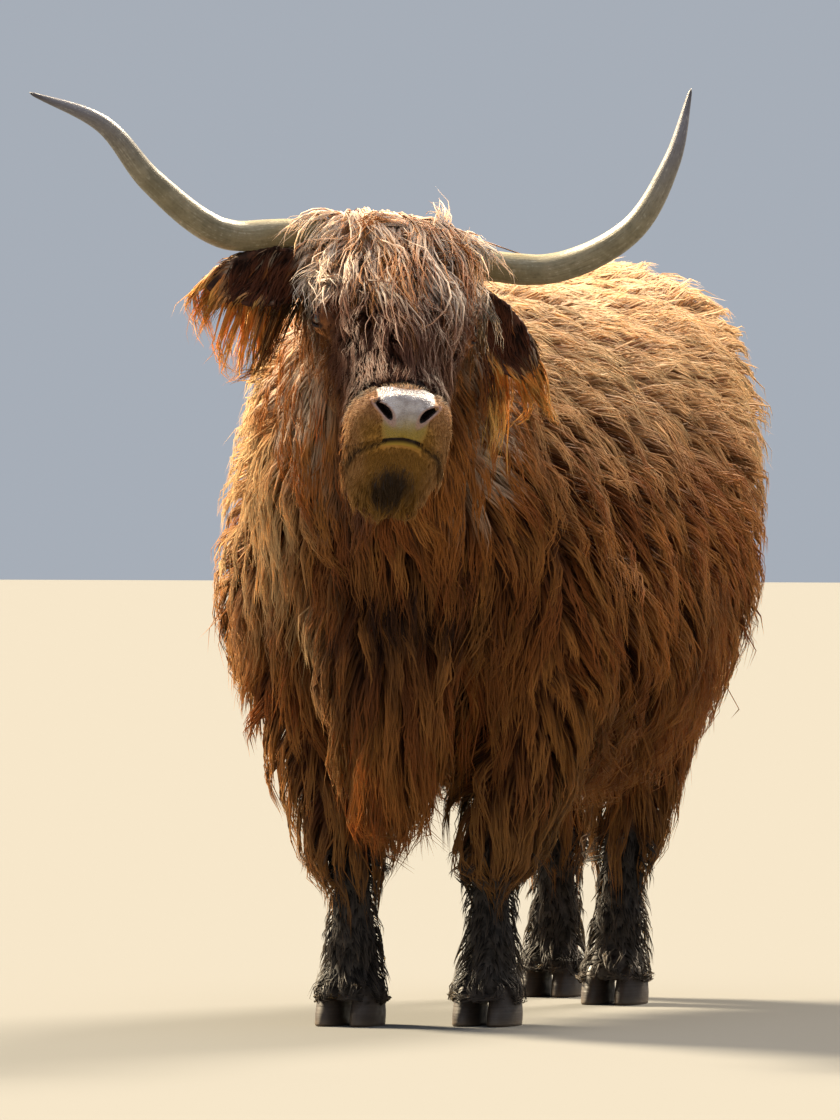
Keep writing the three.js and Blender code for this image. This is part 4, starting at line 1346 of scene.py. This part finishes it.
def face_style(p, normal):
    """Down the bridge to the fold, back over the cheeks, and very short round the eyes."""
    local, n = head_local(p), normal @ HEAD_TURN
    x, y = local[:, 0], local[:, 1]
    bridge = ramp(n[:, 2], 0.0, 0.5) * (y < 0)
    nape = ramp(y, -40, 30)
    eye_gap = np.minimum(*(np.linalg.norm(p - EYES[s], axis=1) for s in SIDES))
    back = -1.0 * bridge - 0.15 * (1 - bridge) + 1.2 * nape
    length = 42 + 16 * bridge + 12 * ramp(n[:, 2], 0.0, -0.6) + 26 * bridge * ramp(y, -350, -320) + 60 * nape
    length = mix(np.minimum(length, 20), length, ramp(eye_gap, 26, 58)) * mix(0.5, 1, ramp(y, -390, -330))
    up_to_fold = np.clip(1.1 * (y - fold_y(local[:, 2])) + 6, 6, 90)
    length = mix(length, np.minimum(length, up_to_fold), bridge)
    return {
        "flow": in_world(columns(0.003 * x * bridge, back, -0.55 * (1 - bridge))), "length": length,
        "width": mix(1.1, 2.4, ramp(length, 10, 60)), "weight": 0.6,
        "lift": 0.26 - 0.04 * ramp(y, -290, -350), "curl": 0.28, "curl_size": 80.0,
        "clump": mix(0.44, 0.62, bridge), "wave": 0.035, "stray": 0.06, "proud": (-6, 6),
        "layer": (0.25, 1.0), "halo": 0.0, "soft": 0.6,
    }


def muzzle_style(p, normal):
    """A short nap, longer on the chin and towards the cheeks."""
    local = head_local(p)
    side = np.abs(muzzle_x(local))
    chin = np.maximum(ramp(local[:, 2], -120, -185), ramp(side, 48, 74) * ramp(local[:, 2], -82, -125))
    return {
        "flow": in_world(columns(0.004 * local[:, 0], 0.45 * (1 - chin) + 0.1, -0.55 - 0.3 * chin)),
        "length": 10.0 + 42 * chin + 10 * ramp(local[:, 2], -40, -100), "width": 1.3 + 1.0 * chin,
        "weight": 0.6 + 1.2 * chin, "lift": 0.14 + 0.20 * chin, "curl": 0.12 + 0.35 * chin,
        "curl_size": 50.0, "clump": 0.12 + 0.55 * chin, "wave": 0.035, "proud": (-2, 12 + 18 * chin),
        "layer": (0.3, 1.0), "halo": 0.0, "thick": 0.3, "soft": 0.8,
    }


def ear_style(p, normal):
    """A long fringe from the lower edge and the tip, and softer hair over the leaf."""
    sign, e = nearer_ear(p)
    outward = np.where((sign > 0)[:, None], EAR_TURN[1][:, 0], -EAR_TURN[-1][:, 0])
    low = ramp(e[:, 2], -14, -30)
    tip = ramp(e[:, 0], 110, 165)
    return {
        "flow": outward * (0.55 + 0.35 * tip - 0.25 * low)[:, None],
        "length": 62 + 96 * low + 44 * tip * (1 - low), "width": 2.8, "weight": 0.7 + 0.6 * low,
        "lift": 0.46, "curl": 0.28, "curl_size": 80.0, "clump": 0.62, "wave": 0.04, "stray": 0.1,
        "proud": (-6, 12), "layer": (0.2, 1.0), "halo": 0.0,
    }


# ---------------------------------------------------------------- unwraps of the skin's own shape
def fit(values, low, high):
    """Where values lie between low and high, just inside the map's edges."""
    return 0.01 + 0.98 * np.clip((values - low) / (high - low), 0, 1)


def round_map(u, v, length, low, high):
    """A map of the turn round an axis, against the place along it."""
    turned = np.arctan2(u, v) / (2 * np.pi) + 0.5
    return np.stack([fit(turned, 0, 1), fit(length, low, high)], 1)


def map_body(low, high):
    def unwrap(p):
        mid = np.interp(p[:, 1], [-500, -150, 300, 1130], [1020, 840, 760, 880])
        x = np.interp(p[:, 1], [-500, -330, -150, 0], [104, 48, 8, 0])
        turned = np.arctan2(np.abs(p[:, 0] - x), p[:, 2] - mid) / np.pi
        return np.stack([fit(p[:, 1], low, high), fit(turned, 0, 1)], 1)
    return unwrap


def map_neck(p):
    mid = np.interp(p[:, 1], [-500, -150], [1020, 840])
    x = np.interp(p[:, 1], [-500, -330, -150], [104, 48, 8])
    return round_map(p[:, 0] - x, mid - p[:, 2], p[:, 1], -620, 60)


def map_breast(p):
    return round_map(p[:, 0] - 12, -(p[:, 1] + 165), p[:, 2], 420, 900)


def map_limbs(low, high):
    """The four legs side by side, each split at its front."""
    feet = np.array(list(FEET.values()), float)
    spread = np.array([0.25, 0.25, 0.12, 0.12])            # how fast each leg leans outwards higher up

    def unwrap(p):
        x = feet[:, 0] + np.sign(feet[:, 0]) * (spread * np.clip(p[:, 2] - 300, 0, 400)[:, None])
        leg = np.argmin(np.hypot(p[:, :1] - x, p[:, 1:2] - feet[:, 1] - 25), 1)
        own_x = x[np.arange(len(p)), leg]
        uv = round_map(p[:, 0] - own_x, p[:, 1] - feet[leg, 1] - 25, p[:, 2], low, high)
        uv[:, 0] = (leg + uv[:, 0]) / 4
        return uv
    return unwrap


def map_tail(p):
    return round_map(p[:, 0], p[:, 1] - 1150, p[:, 2], 540, 1150)


def map_head(p):
    local = head_local(p)
    return round_map(local[:, 0], -(local[:, 2] + 75), local[:, 1], -470, 90)


def map_ears(p):
    sign, e = nearer_ear(p)
    uv = round_map(e[:, 2], e[:, 1] - 4, e[:, 0], -40, 180)
    uv[:, 0] = (uv[:, 0] + (sign > 0)) / 2
    return uv


# ---------------------------------------------------------------- the coat, piece by piece
local_y, upward = tri_local[:, 1], tri_local_normal[:, 2]
in_muzzle = REGION["head"] & (local_y < fold_y(tri_local[:, 2]))
brow_half = np.interp(local_y, [-215, -150, -100], [50, 70, 130])
in_forelock = REGION["head"] & (local_y > -215) & (local_y < 62) & (upward > 0.12)
in_forelock &= np.abs(tri_local[:, 0]) < brow_half
eye_gap = np.minimum(*(eye_hollow(tri_middle, s) for s in SIDES))
in_face = REGION["head"] & ~in_muzzle & (eye_gap > 2.0)
has_nap = bare(tri_local)[:, :3].max(axis=1) < 0.5
bridge_denser = 1 + 1.6 * (local_y < -190) * ramp(upward, -0.1, 0.4)
SPLIT_Y = 470
left, fore_half = tri_middle[:, 0] > 0, tri_middle[:, 1] < SPLIT_Y

# Each piece: its name, where it grows, locks, gap between guides, style, points along a lock, unwrap.
COAT = [
    (f"coat_side_{side}_{end}", REGION["trunk"] & here & there, count, 27, trunk_style, 5, map_body(*span))
    for side, here, count in (("left", left, 7200), ("right", ~left, 7000))
    for end, there, span in (("fore", fore_half, (-260, 500)), ("hind", ~fore_half, (440, 1170)))
]
COAT += [
    ("coat_neck", REGION["neck"], 7300, 25, neck_style, 5, map_neck),
    ("coat_breast", REGION["breast"], 2900, 24, breast_style, 5, map_breast),
    ("coat_forelegs", REGION["fore"], 4400, 24, sleeve_style, 5, map_limbs(280, 760)),
    ("coat_hindlegs", REGION["hind"], 4300, 24, sleeve_style, 5, map_limbs(280, 760)),
    ("coat_shanks", REGION["shanks"], 4600, 13, shank_style, 4, map_limbs(30, 320)),
    ("coat_tail", REGION["tail"], 1100, 15, tail_style, 7, map_tail),
    ("coat_face", in_face, 7000, 12, face_style, 4, map_head),
    ("coat_forelock", in_forelock, 2800, 18, forelock_style, 7, map_head),
    ("coat_ears", REGION["ears"], 3000, 13, ear_style, 5, map_ears),
    ("coat_muzzle", in_muzzle & has_nap, 7200, 7, muzzle_style, 3, map_head),
]
FIRST_SEED = 100
coats = []
for number, (name, chosen, count, gap, style, points, unwrap) in enumerate(COAT):
    denser = bridge_denser if name == "coat_face" else 1
    keep_out = 1.0 if name in ("coat_face", "coat_muzzle") else 2.5
    locks = locks_of(chosen, count, gap, style, points, denser, FIRST_SEED + number, keep_out)
    coats.append(lock_object(name, locks, unwrap))


# ---------------------------------------------------------------- horns, hooves and eyes
def ring_faces(rings, around):
    """Quads from ring to ring, and a fan at each end round one of the two points after the rings."""
    faces = []
    for i, j in product(range(rings - 1), range(around)):
        a, b = i * around + j, i * around + (j + 1) % around
        faces.append((a, b, b + around, a + around))
    last, first_tip = (rings - 1) * around, rings * around
    faces += [((j + 1) % around, j, first_tip) for j in range(around)]
    faces += [(last + j, last + (j + 1) % around, first_tip + 1) for j in range(around)]
    return faces


def stand_for(made, node):
    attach(made, "root")
    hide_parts(node)
    return made


def horn(sign, node):
    """A closed tube with growth rings near its root; it stores how far along and round it a place is."""
    count, around = 150, 40
    path, reach = smooth_path(HORN_PATHS[sign], count)
    t = np.linspace(0, 1, count)
    growth = 0.5 * np.sin(reach * t / 9.5 + 1.2 * np.sin(reach * t / 31)) * ramp(t, 0.48, 0.12)
    blunt = np.sqrt(1 - np.clip(1 - reach * (1 - t) / 9, 0, 1) ** 2 * 0.98)
    radii = (horn_radius(t) + growth - 0.4) * blunt
    path = horn_world(path)
    angle = np.arange(around) / around * 2 * np.pi
    side = np.array([0.0, 0.0, 1.0])
    rings = []
    for p, tangent, radius in zip(path, unit(np.gradient(path, axis=0)), radii):
        side = unit(side - tangent * (side @ tangent))
        over = np.cross(tangent, side)
        rings.append(p + radius * (np.cos(angle)[:, None] * side + np.sin(angle)[:, None] * over))
    made = mesh_object(node, np.concatenate([*rings, path[:1], path[-1:]]), ring_faces(count, around))
    shares = np.zeros((len(made.data.vertices), 4))
    shares[:-2, 0] = np.repeat(np.arange(count) / (count - 1), around)
    shares[:-2, 1] = np.tile(angle / (2 * np.pi), count)
    shares[-1, 0] = 1
    give(made, "along", shares)
    return stand_for(made, node)


# Claw: height share, and the half width, toe and heel there as shares of the box's own.
CLAW = [
    (0.00, 0.93, 0.94, 0.90), (0.05, 0.98, 0.99, 0.96), (0.30, 1.00, 0.90, 1.00), (0.60, 0.95, 0.72, 0.97),
    (0.85, 0.86, 0.55, 0.90), (1.00, 0.70, 0.40, 0.76),
]
CLAW_SQUARE = 2.5


def claw(node, inner):
    """One horny claw: rounded outside, flat where it meets its neighbour, its toe forward."""
    low, high = (1000 * np.array(v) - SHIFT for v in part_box(node))
    middle, half = (low + high) / 2, (high - low) / 2
    share = np.concatenate([np.linspace(0, 0.06, 4), np.linspace(0.12, 1, 14)])
    around = 40
    angle = np.arange(around) / around * 2 * np.pi
    cx, cy = np.cos(angle), np.sin(angle)
    r = (np.abs(cx) ** CLAW_SQUARE + np.abs(cy) ** CLAW_SQUARE) ** (-1 / CLAW_SQUARE)
    table = np.array(CLAW)
    rings = []
    for s in share:
        wide, toe, heel = (np.interp(s, table[:, 0], table[:, j]) for j in (1, 2, 3))
        x, y = cx * r * half[0] * wide, cy * r * half[1]
        x = x * np.where(np.sign(x) == inner, 0.90, 1.0) * np.where(y < 0, 1 - 0.26 * (y / half[1]) ** 2, 1)
        y = y * np.where(y < 0, toe, heel)
        z = np.full(around, low[2] + s * (high[2] - low[2]))
        rings.append(np.stack([middle[0] + x, middle[1] + y, z], 1))
    tips = [(middle[0], middle[1], low[2]), (middle[0], middle[1], high[2])]
    made = mesh_object(node, np.concatenate([*rings, tips]), ring_faces(len(share), around))
    shares = np.zeros((len(made.data.vertices), 4))
    shares[:, 0] = [*np.repeat(share, around), 0, 1]
    give(made, "along", shares)
    return stand_for(made, node)


def eye(sign, node):
    """A ball with a slightly raised cornea; its attribute is the direction in the eye's own axes."""
    look, back, up = eye_axes(sign)
    rows, around = 48, 64
    tilt = np.repeat(np.pi * np.arange(1, rows) / rows, around)
    turned = np.tile(2 * np.pi * np.arange(around) / around, rows - 1)
    gaze = np.stack([np.sin(tilt) * np.cos(turned), np.sin(tilt) * np.sin(turned), np.cos(tilt)], 1)
    gaze = np.concatenate([gaze, [(0, 0, 1), (0, 0, -1)]])
    cornea = 1.3 * ramp(gaze[:, 2], 0.72, 0.92)
    world = gaze[:, :1] * back + gaze[:, 1:2] * up + gaze[:, 2:] * look
    faces = ring_faces(rows - 1, around)
    if np.dot(np.cross(back, up), look) > 0:
        faces = [f[::-1] for f in faces]
    made = mesh_object(node, EYES[sign] + world * (EYE_RADIUS - 0.8 + cornea)[:, None], faces)
    give(made, "gaze", np.column_stack([gaze * 0.5 + 0.5, np.zeros(len(gaze))]))
    return stand_for(made, node)


horns = [horn(sign, f"horn_{side}") for sign, side in SIDES.items()]
claws = []
for name, sign in FEET:
    for part, inner in (("outer", -sign), ("inner", sign)):
        claws.append(claw(f"hoof_{name}_{SIDES[sign]}_{part}", inner))
eyes = [eye(sign, f"eye_{side}") for sign, side in SIDES.items()]


# ---------------------------------------------------------------- materials
def colour(red, green, blue):
    """A colour given as it is seen, 0 to 255, as the light it reflects."""
    v = np.array([red, green, blue]) / 255
    return (*np.where(v < 0.04045, v / 12.92, ((v + 0.055) / 1.055) ** 2.4), 1.0)


class Surface:
    """A material's nodes, joined as they are asked for."""

    def __init__(self, name, **sockets):
        self.material = bpy.data.materials.new(name)
        self.material.use_nodes = True
        self.tree = self.material.node_tree
        self.shader = self.tree.nodes["Principled BSDF"]
        for key, value in sockets.items():
            self.shader.inputs[key.replace("_", " ")].default_value = value

    def put(self, socket, value):
        """Joins a node's output to the socket, or sets a plain value on it."""
        if isinstance(value, bpy.types.NodeSocket):
            self.tree.links.new(value, socket)
        else:
            socket.default_value = value

    def node(self, kind, *values, **settings):
        """A new node with its first inputs filled."""
        made = self.tree.nodes.new("ShaderNode" + kind)
        for key, value in settings.items():
            setattr(made, key, value)
        for socket, value in zip(made.inputs, values):
            self.put(socket, value)
        return made

    def attribute(self, name):
        """The four numbers that give() stored on the vertices."""
        made = self.node("Attribute", attribute_name=name)
        return [*self.node("SeparateXYZ", made.outputs["Vector"]).outputs, made.outputs["Alpha"]]

    def maths(self, what, a, b=0.0, clamp=False):
        return self.node("Math", a, b, operation=what, use_clamp=clamp).outputs[0]

    def plus(self, a, b, clamp=False):
        return self.maths("ADD", a, b, clamp)

    def less(self, a, b):
        return self.maths("SUBTRACT", a, b)

    def times(self, a, b, clamp=False):
        return self.maths("MULTIPLY", a, b, clamp)

    def length(self, a, b):
        return self.maths("SQRT", self.plus(self.times(a, a), self.times(b, b)))

    def mix(self, share, a, b, how="MIX"):
        made = self.node("Mix", share, data_type="RGBA", blend_type=how)
        self.put(made.inputs[6], a)
        self.put(made.inputs[7], b)
        return made.outputs[2]

    def step(self, value, low, high, to_low=0.0, to_high=1.0):
        """Rises smoothly from to_low at low to to_high at high."""
        made = self.node("MapRange", value, low, high, to_low, to_high, interpolation_type="SMOOTHSTEP")
        return made.outputs[0]

    def vector(self, x, y, z):
        return self.node("CombineXYZ", x, y, z).outputs[0]

    def place(self):
        return self.node("TexCoord").outputs["Object"]

    def texture(self, kind, where, **sockets):
        made = self.node(kind)
        self.put(made.inputs["Vector"], where)
        for key, value in sockets.items():
            made.inputs[key].default_value = value
        return made

    def noise(self, where, scale, detail=2.0, rough=0.5):
        return self.texture("TexNoise", where, Scale=scale, Detail=detail, Roughness=rough).outputs[0]

    def cells(self, where, scale):
        made = self.texture("TexVoronoi", where, Scale=scale)
        made.feature = "DISTANCE_TO_EDGE"
        return made.outputs["Distance"]

    def let_through(self, share, tint):
        """Lets a share of the light pass through the surface, tinted."""
        glow = self.node("BsdfTranslucent", tint)
        both = self.node("MixShader", share, self.shader.outputs[0], glow.outputs[0])
        self.tree.links.new(both.outputs[0], self.tree.nodes["Material Output"].inputs["Surface"])

    def bump(self, height, distance, strength):
        made = self.node("Bump")
        made.inputs["Strength"].default_value = strength
        made.inputs["Distance"].default_value = distance
        self.put(made.inputs["Height"], height)
        self.put(self.shader.inputs["Normal"], made.outputs[0])

    def cover(self, base, rough=None):
        """Sets the surface's colour and, where it varies, its roughness."""
        self.put(self.shader.inputs["Base Color"], base)
        if rough:
            self.put(self.shader.inputs["Roughness"], rough)


# The colours of hair at its root and at its tip. Some paint light: bleached and crown hair are paler as
# painted sunlight too, the fringe is brighter as painted backlight, and the face's and the chest's darker
# hair is painted shade.
HAIR = {
    "plain": (colour(90, 50, 26), colour(192, 128, 65)), "shade_patches": (colour(22, 13, 8), colour(62, 36, 20)),
    "sunlit_bleached": (colour(160, 102, 56), colour(248, 212, 158)),
    "sunlit_crown": (colour(236, 200, 170), colour(255, 240, 222)),
    "face_shade": (colour(42, 25, 21), colour(112, 70, 52)), "dark": (colour(28, 24, 22), colour(84, 76, 70)),
    "ear": (colour(36, 18, 12), colour(106, 60, 40)), "fringe": (colour(240, 150, 66), colour(255, 206, 120)),
}
RED_TIP, WARM_TIP, LOW_TIP = colour(164, 95, 45), colour(184, 116, 56), colour(156, 112, 62)
STAIN, BLACK = colour(138, 98, 24), colour(26, 15, 11)


def hair_colour(s, along, rand, group):
    """The colour of hair from root to tip with the cow's markings."""
    dark, sunlit_bleach, stain, ear = s.attribute("marks")
    face_shade, low_dull, warm, black = s.attribute("tones")
    sunlit_crown, fringe, slow, shade_patches = s.attribute("lights")
    chance = s.plus(s.less(rand, 0.5), s.times(s.less(slow, 0.5), 0.8))
    shade = s.plus(s.step(along, 0.0, 0.85), s.times(chance, 0.42), clamp=True)
    tip = s.mix(s.step(group, 0.2, 0.95), HAIR["plain"][1], RED_TIP)
    tip = s.mix(warm, tip, WARM_TIP)
    # Tips are duller and darker towards the bottom.
    tip = s.mix(s.times(low_dull, 0.75), tip, LOW_TIP)
    # Painted shade on the chest and throat, and the darker flank patches, darken tips and roots.
    tip = s.mix(shade_patches, tip, HAIR["shade_patches"][1])
    base = s.mix(shade, s.mix(shade_patches, HAIR["plain"][0], HAIR["shade_patches"][0]), tip)
    # The crown's hair is pale from its root to reach, partly as painted sunlight on top of the head, and a
    # few odd hairs are pale beyond.
    reach = s.step(sunlit_crown, 0.5, 1.0, 0.0, 0.55)
    odd = s.times(s.step(rand, 0.91, 0.94), s.step(along, 0.7, 0.42))
    pale = s.maths("MAXIMUM", s.step(s.less(along, reach), 0.70, 0.38), odd)
    pale = s.times(s.times(sunlit_crown, 2.0, clamp=True), pale)
    # The face's painted cool shade, sun-bleached hair with painted sunlight, the crown's pale hair with
    # painted sunlight, the ears' brown, and the fringe painted bright as if lit from behind.
    kinds = {"face_shade": face_shade, "sunlit_bleached": sunlit_bleach, "sunlit_crown": pale, "ear": ear, "fringe": fringe}
    for kind, share in kinds.items():
        base = s.mix(share, base, s.mix(shade, *HAIR[kind]))
    base = s.mix(s.times(stain, 0.8), base, STAIN)
    base = s.mix(dark, base, s.mix(shade, *HAIR["dark"]))
    # Black: the eyes' rims and the chin's patch, with painted shade in the fold, the mouth's line and its
    # corners.
    return s.mix(s.times(black, 0.92), base, BLACK)


def coat_material():
    s = Surface("coat", Roughness=0.55, Specular_IOR_Level=0.18, Sheen_Weight=0.22, Sheen_Roughness=0.3,
                Sheen_Tint=(1.0, 0.66, 0.28, 1))
    along, across, rand, group = s.attribute("lock")
    where = s.vector(s.times(rand, 60.0), s.times(across, 5.0), s.times(along, 1.6))
    streak = s.step(s.noise(where, 1.6, 3.0), 0.3, 0.72, 0.62, 1.25)
    base = s.mix(1.0, hair_colour(s, along, rand, group), s.vector(streak, streak, streak), "MULTIPLY")
    s.cover(base)
    s.let_through(0.42, s.mix(1.0, base, (1.0, 0.80, 0.52, 1.0), "MULTIPLY"))
    return s.material


def skin_material():
    """Under the coat it is as dark as the hair's roots; pad, lips and nostrils are bare."""
    s = Surface("skin", Specular_IOR_Level=0.35)
    pad, lip_highlight, inside, line = s.attribute("bare")
    stain, black = s.attribute("marks")[2], s.attribute("tones")[3]
    where = s.place()
    spots = s.noise(where, 60.0, 3.0)
    hair = hair_colour(s, s.step(spots, 0.3, 0.7, 0.15, 0.5), s.noise(where, 240.0, 1.0), spots)
    flesh = s.mix(s.step(spots, 0.35, 0.7), colour(178, 170, 170), colour(140, 130, 128))
    flesh = s.mix(s.times(stain, 0.95), flesh, colour(134, 112, 28))
    # The lower lip's middle band is painted a bright stained yellow as a highlight.
    lip_highlight_colour = s.mix(s.times(stain, 0.85), colour(112, 84, 64), colour(150, 122, 28))
    base = s.mix(pad, s.mix(lip_highlight, hair, lip_highlight_colour), flesh)
    base = s.mix(s.times(s.step(inside, 0.0, 0.5), 0.75), base, colour(150, 116, 106))     # nostrils' rims
    # The nostrils' hollows are painted near black as the shade inside them.
    base = s.mix(s.step(inside, 0.55, 0.95), base, colour(26, 14, 12))                     # and hollows
    # The mouth's line is painted shade in the crease of the lips.
    base = s.mix(line, base, colour(34, 22, 12))
    # Black: the eyes' rims and the chin's patch, with painted shade in the fold and the mouth's corners.
    base = s.mix(black, base, colour(38, 25, 21))
    s.cover(base, s.step(pad, 0.1, 0.9, 0.78, 0.36))
    pebbles = s.step(s.cells(where, 260.0), 0.0, 0.22)
    s.bump(s.mix(pad, s.times(s.noise(where, 420.0, 2.0), 0.2), pebbles), 0.0009, 0.8)
    return s.material


def horn_material():
    """Grey horn, yellower at its root and dark at its tip, streaked along its length."""
    s = Surface("horn", Specular_IOR_Level=0.42)
    along, angle, _, _ = s.attribute("along")
    where = s.place()
    cloud, speck = s.noise(where, 16.0, 4.0, 0.6), s.noise(where, 150.0, 4.0, 0.65)
    grain = s.noise(s.vector(s.times(along, 7.0), s.times(angle, 26.0), 0.0), 2.0, 4.0, 0.6)
    base = s.mix(s.step(cloud, 0.35, 0.65), colour(132, 122, 98), colour(104, 96, 74))
    base = s.mix(s.step(along, 0.36, 0.0), base, s.mix(cloud, colour(132, 118, 74), colour(104, 94, 62)))
    base = s.mix(s.step(along, 0.55, 0.92), base, colour(98, 94, 100))
    base = s.mix(s.step(along, 0.90, 1.0), base, colour(60, 56, 62))
    streak = s.plus(s.times(grain, 0.55), s.times(speck, 0.45))
    base = s.mix(s.times(s.step(streak, 0.50, 0.64), 0.50), base, colour(74, 66, 46))
    base = s.mix(s.times(s.step(streak, 0.46, 0.36), 0.30), base, colour(190, 184, 168))
    s.cover(base, s.step(speck, 0.3, 0.7, 0.30, 0.52))
    s.bump(s.plus(grain, s.times(speck, 0.6)), 0.0012, 0.5)
    return s.material


def hoof_material():
    """Dark horn in bands, scuffed paler near the ground."""
    s = Surface("hoof", Specular_IOR_Level=0.4)
    along = s.attribute("along")[0]
    cloud = s.noise(s.place(), 45.0, 3.0)
    band = s.noise(s.vector(s.times(along, 16.0), s.times(cloud, 1.5), 0.0), 1.0, 2.0)
    base = s.mix(band, colour(34, 28, 25), colour(72, 60, 50))
    base = s.mix(s.step(along, 0.25, 0.0), base, colour(86, 72, 56))
    s.cover(base, s.step(cloud, 0.3, 0.7, 0.45, 0.7))
    s.bump(band, 0.0012, 0.6)
    return s.material


def eye_material():
    """A dark brown iris with a lying slot of a pupil."""
    s = Surface("eye", Roughness=0.06, Specular_IOR_Level=0.6, Coat_Weight=0.6, Coat_Roughness=0.03)
    u, v, _, _ = s.attribute("gaze")
    u, v = s.less(u, 0.5), s.less(v, 0.5)
    out, slot = s.length(u, v), s.length(u, s.times(v, 1.9))
    rays = s.noise(s.vector(s.times(u, 30.0), s.times(v, 30.0), out), 1.0, 3.0)
    iris = s.mix(rays, colour(44, 22, 12), colour(86, 48, 24))
    base = s.mix(s.step(slot, 0.17, 0.20), colour(8, 7, 9), iris)
    base = s.mix(s.step(out, 0.33, 0.37), base, colour(22, 14, 11))
    s.cover(s.mix(s.step(out, 0.38, 0.44), base, colour(120, 96, 84)))
    return s.material


for made, surface in ((coats, coat_material()), ([skin_object], skin_material()), (horns, horn_material()),
                      (claws, hoof_material()), (eyes, eye_material())):
    for piece in made:
        piece.data.materials.append(surface)


# ---------------------------------------------------------------- floor, lights and camera
VIEW_TURN = math.radians(18)            # the camera stands this far to the cow's left of straight ahead
VIEW_AT, VIEW_DISTANCE = (-0.06447, -0.2345, 0.877), 18
IMAGE_HEIGHT, FOCAL_LENGTH = 1120, 11700.0           # in pixels
AIM_RIGHT, AIM_DOWN = 2, 105                         # pixels from the image's middle
SENSOR = 36
FLOOR_HALF, FLOOR_COLOUR = 60, (0.125, 0.124, 0.121, 1)
SKY_COLOUR, SKY_STRENGTH = (0.80, 0.88, 1.0, 1), 0.48
# Each sun: its name, the way it stands, its power, colour and breadth in degrees.
SUNS = [
    ("behind", (-0.70, 0.30, 0.66), 22.0, (1.0, 0.84, 0.58), 12),
    ("beyond", (0.21, 0.84, 0.74), 10.0, (1.0, 0.85, 0.64), 20),
    ("over", (0.10, -0.25, 1.0), 1.4, (0.96, 0.97, 1.0), 50),
]


def aimed(name, data, way):
    """A lamp or camera that looks along way."""
    made = add_object(name, data)
    made.rotation_mode = "QUATERNION"
    made.rotation_quaternion = Vector(way).to_track_quat("-Z", "Y")
    return made


def camera():
    """Level with the head's eyes and far off, as the photograph was taken."""
    across = Vector((math.cos(VIEW_TURN), math.sin(VIEW_TURN), 0))
    ahead = Vector((-math.sin(VIEW_TURN), math.cos(VIEW_TURN), 0))
    data = bpy.data.cameras.new("camera")
    data.sensor_width = SENSOR
    data.lens = FOCAL_LENGTH / IMAGE_HEIGHT * SENSOR
    data.clip_end = 300
    look = ahead + across * (AIM_RIGHT / FOCAL_LENGTH) + Vector((0, 0, -AIM_DOWN / FOCAL_LENGTH))
    made = aimed("camera", data, look)
    made.location = Vector(VIEW_AT) - VIEW_DISTANCE * ahead
    bpy.context.scene.camera = made


def floor():
    mesh = bpy.data.meshes.new("floor")
    corners = [(x * FLOOR_HALF, y * FLOOR_HALF, 0) for x, y in ((-1, -1), (1, -1), (1, 1), (-1, 1))]
    mesh.from_pydata(corners, [], [(0, 1, 2, 3)])
    s = Surface("pale_floor", Base_Color=FLOOR_COLOUR, Specular_IOR_Level=0.0, Roughness=0.9)
    mesh.materials.append(s.material)
    add_object("floor", mesh)


def light():
    world = bpy.data.worlds.new("studio")
    world.use_nodes = True
    background = world.node_tree.nodes["Background"]
    background.inputs[0].default_value = SKY_COLOUR
    background.inputs[1].default_value = SKY_STRENGTH
    bpy.context.scene.world = world
    for name, toward, power, tint, breadth in SUNS:
        data = bpy.data.lights.new(name, "SUN")
        data.energy, data.color, data.angle = power, tint, math.radians(breadth)
        aimed(name, data, -Vector(toward))


camera()
floor()
light()
bpy.context.scene.view_settings.view_transform = "Standard"
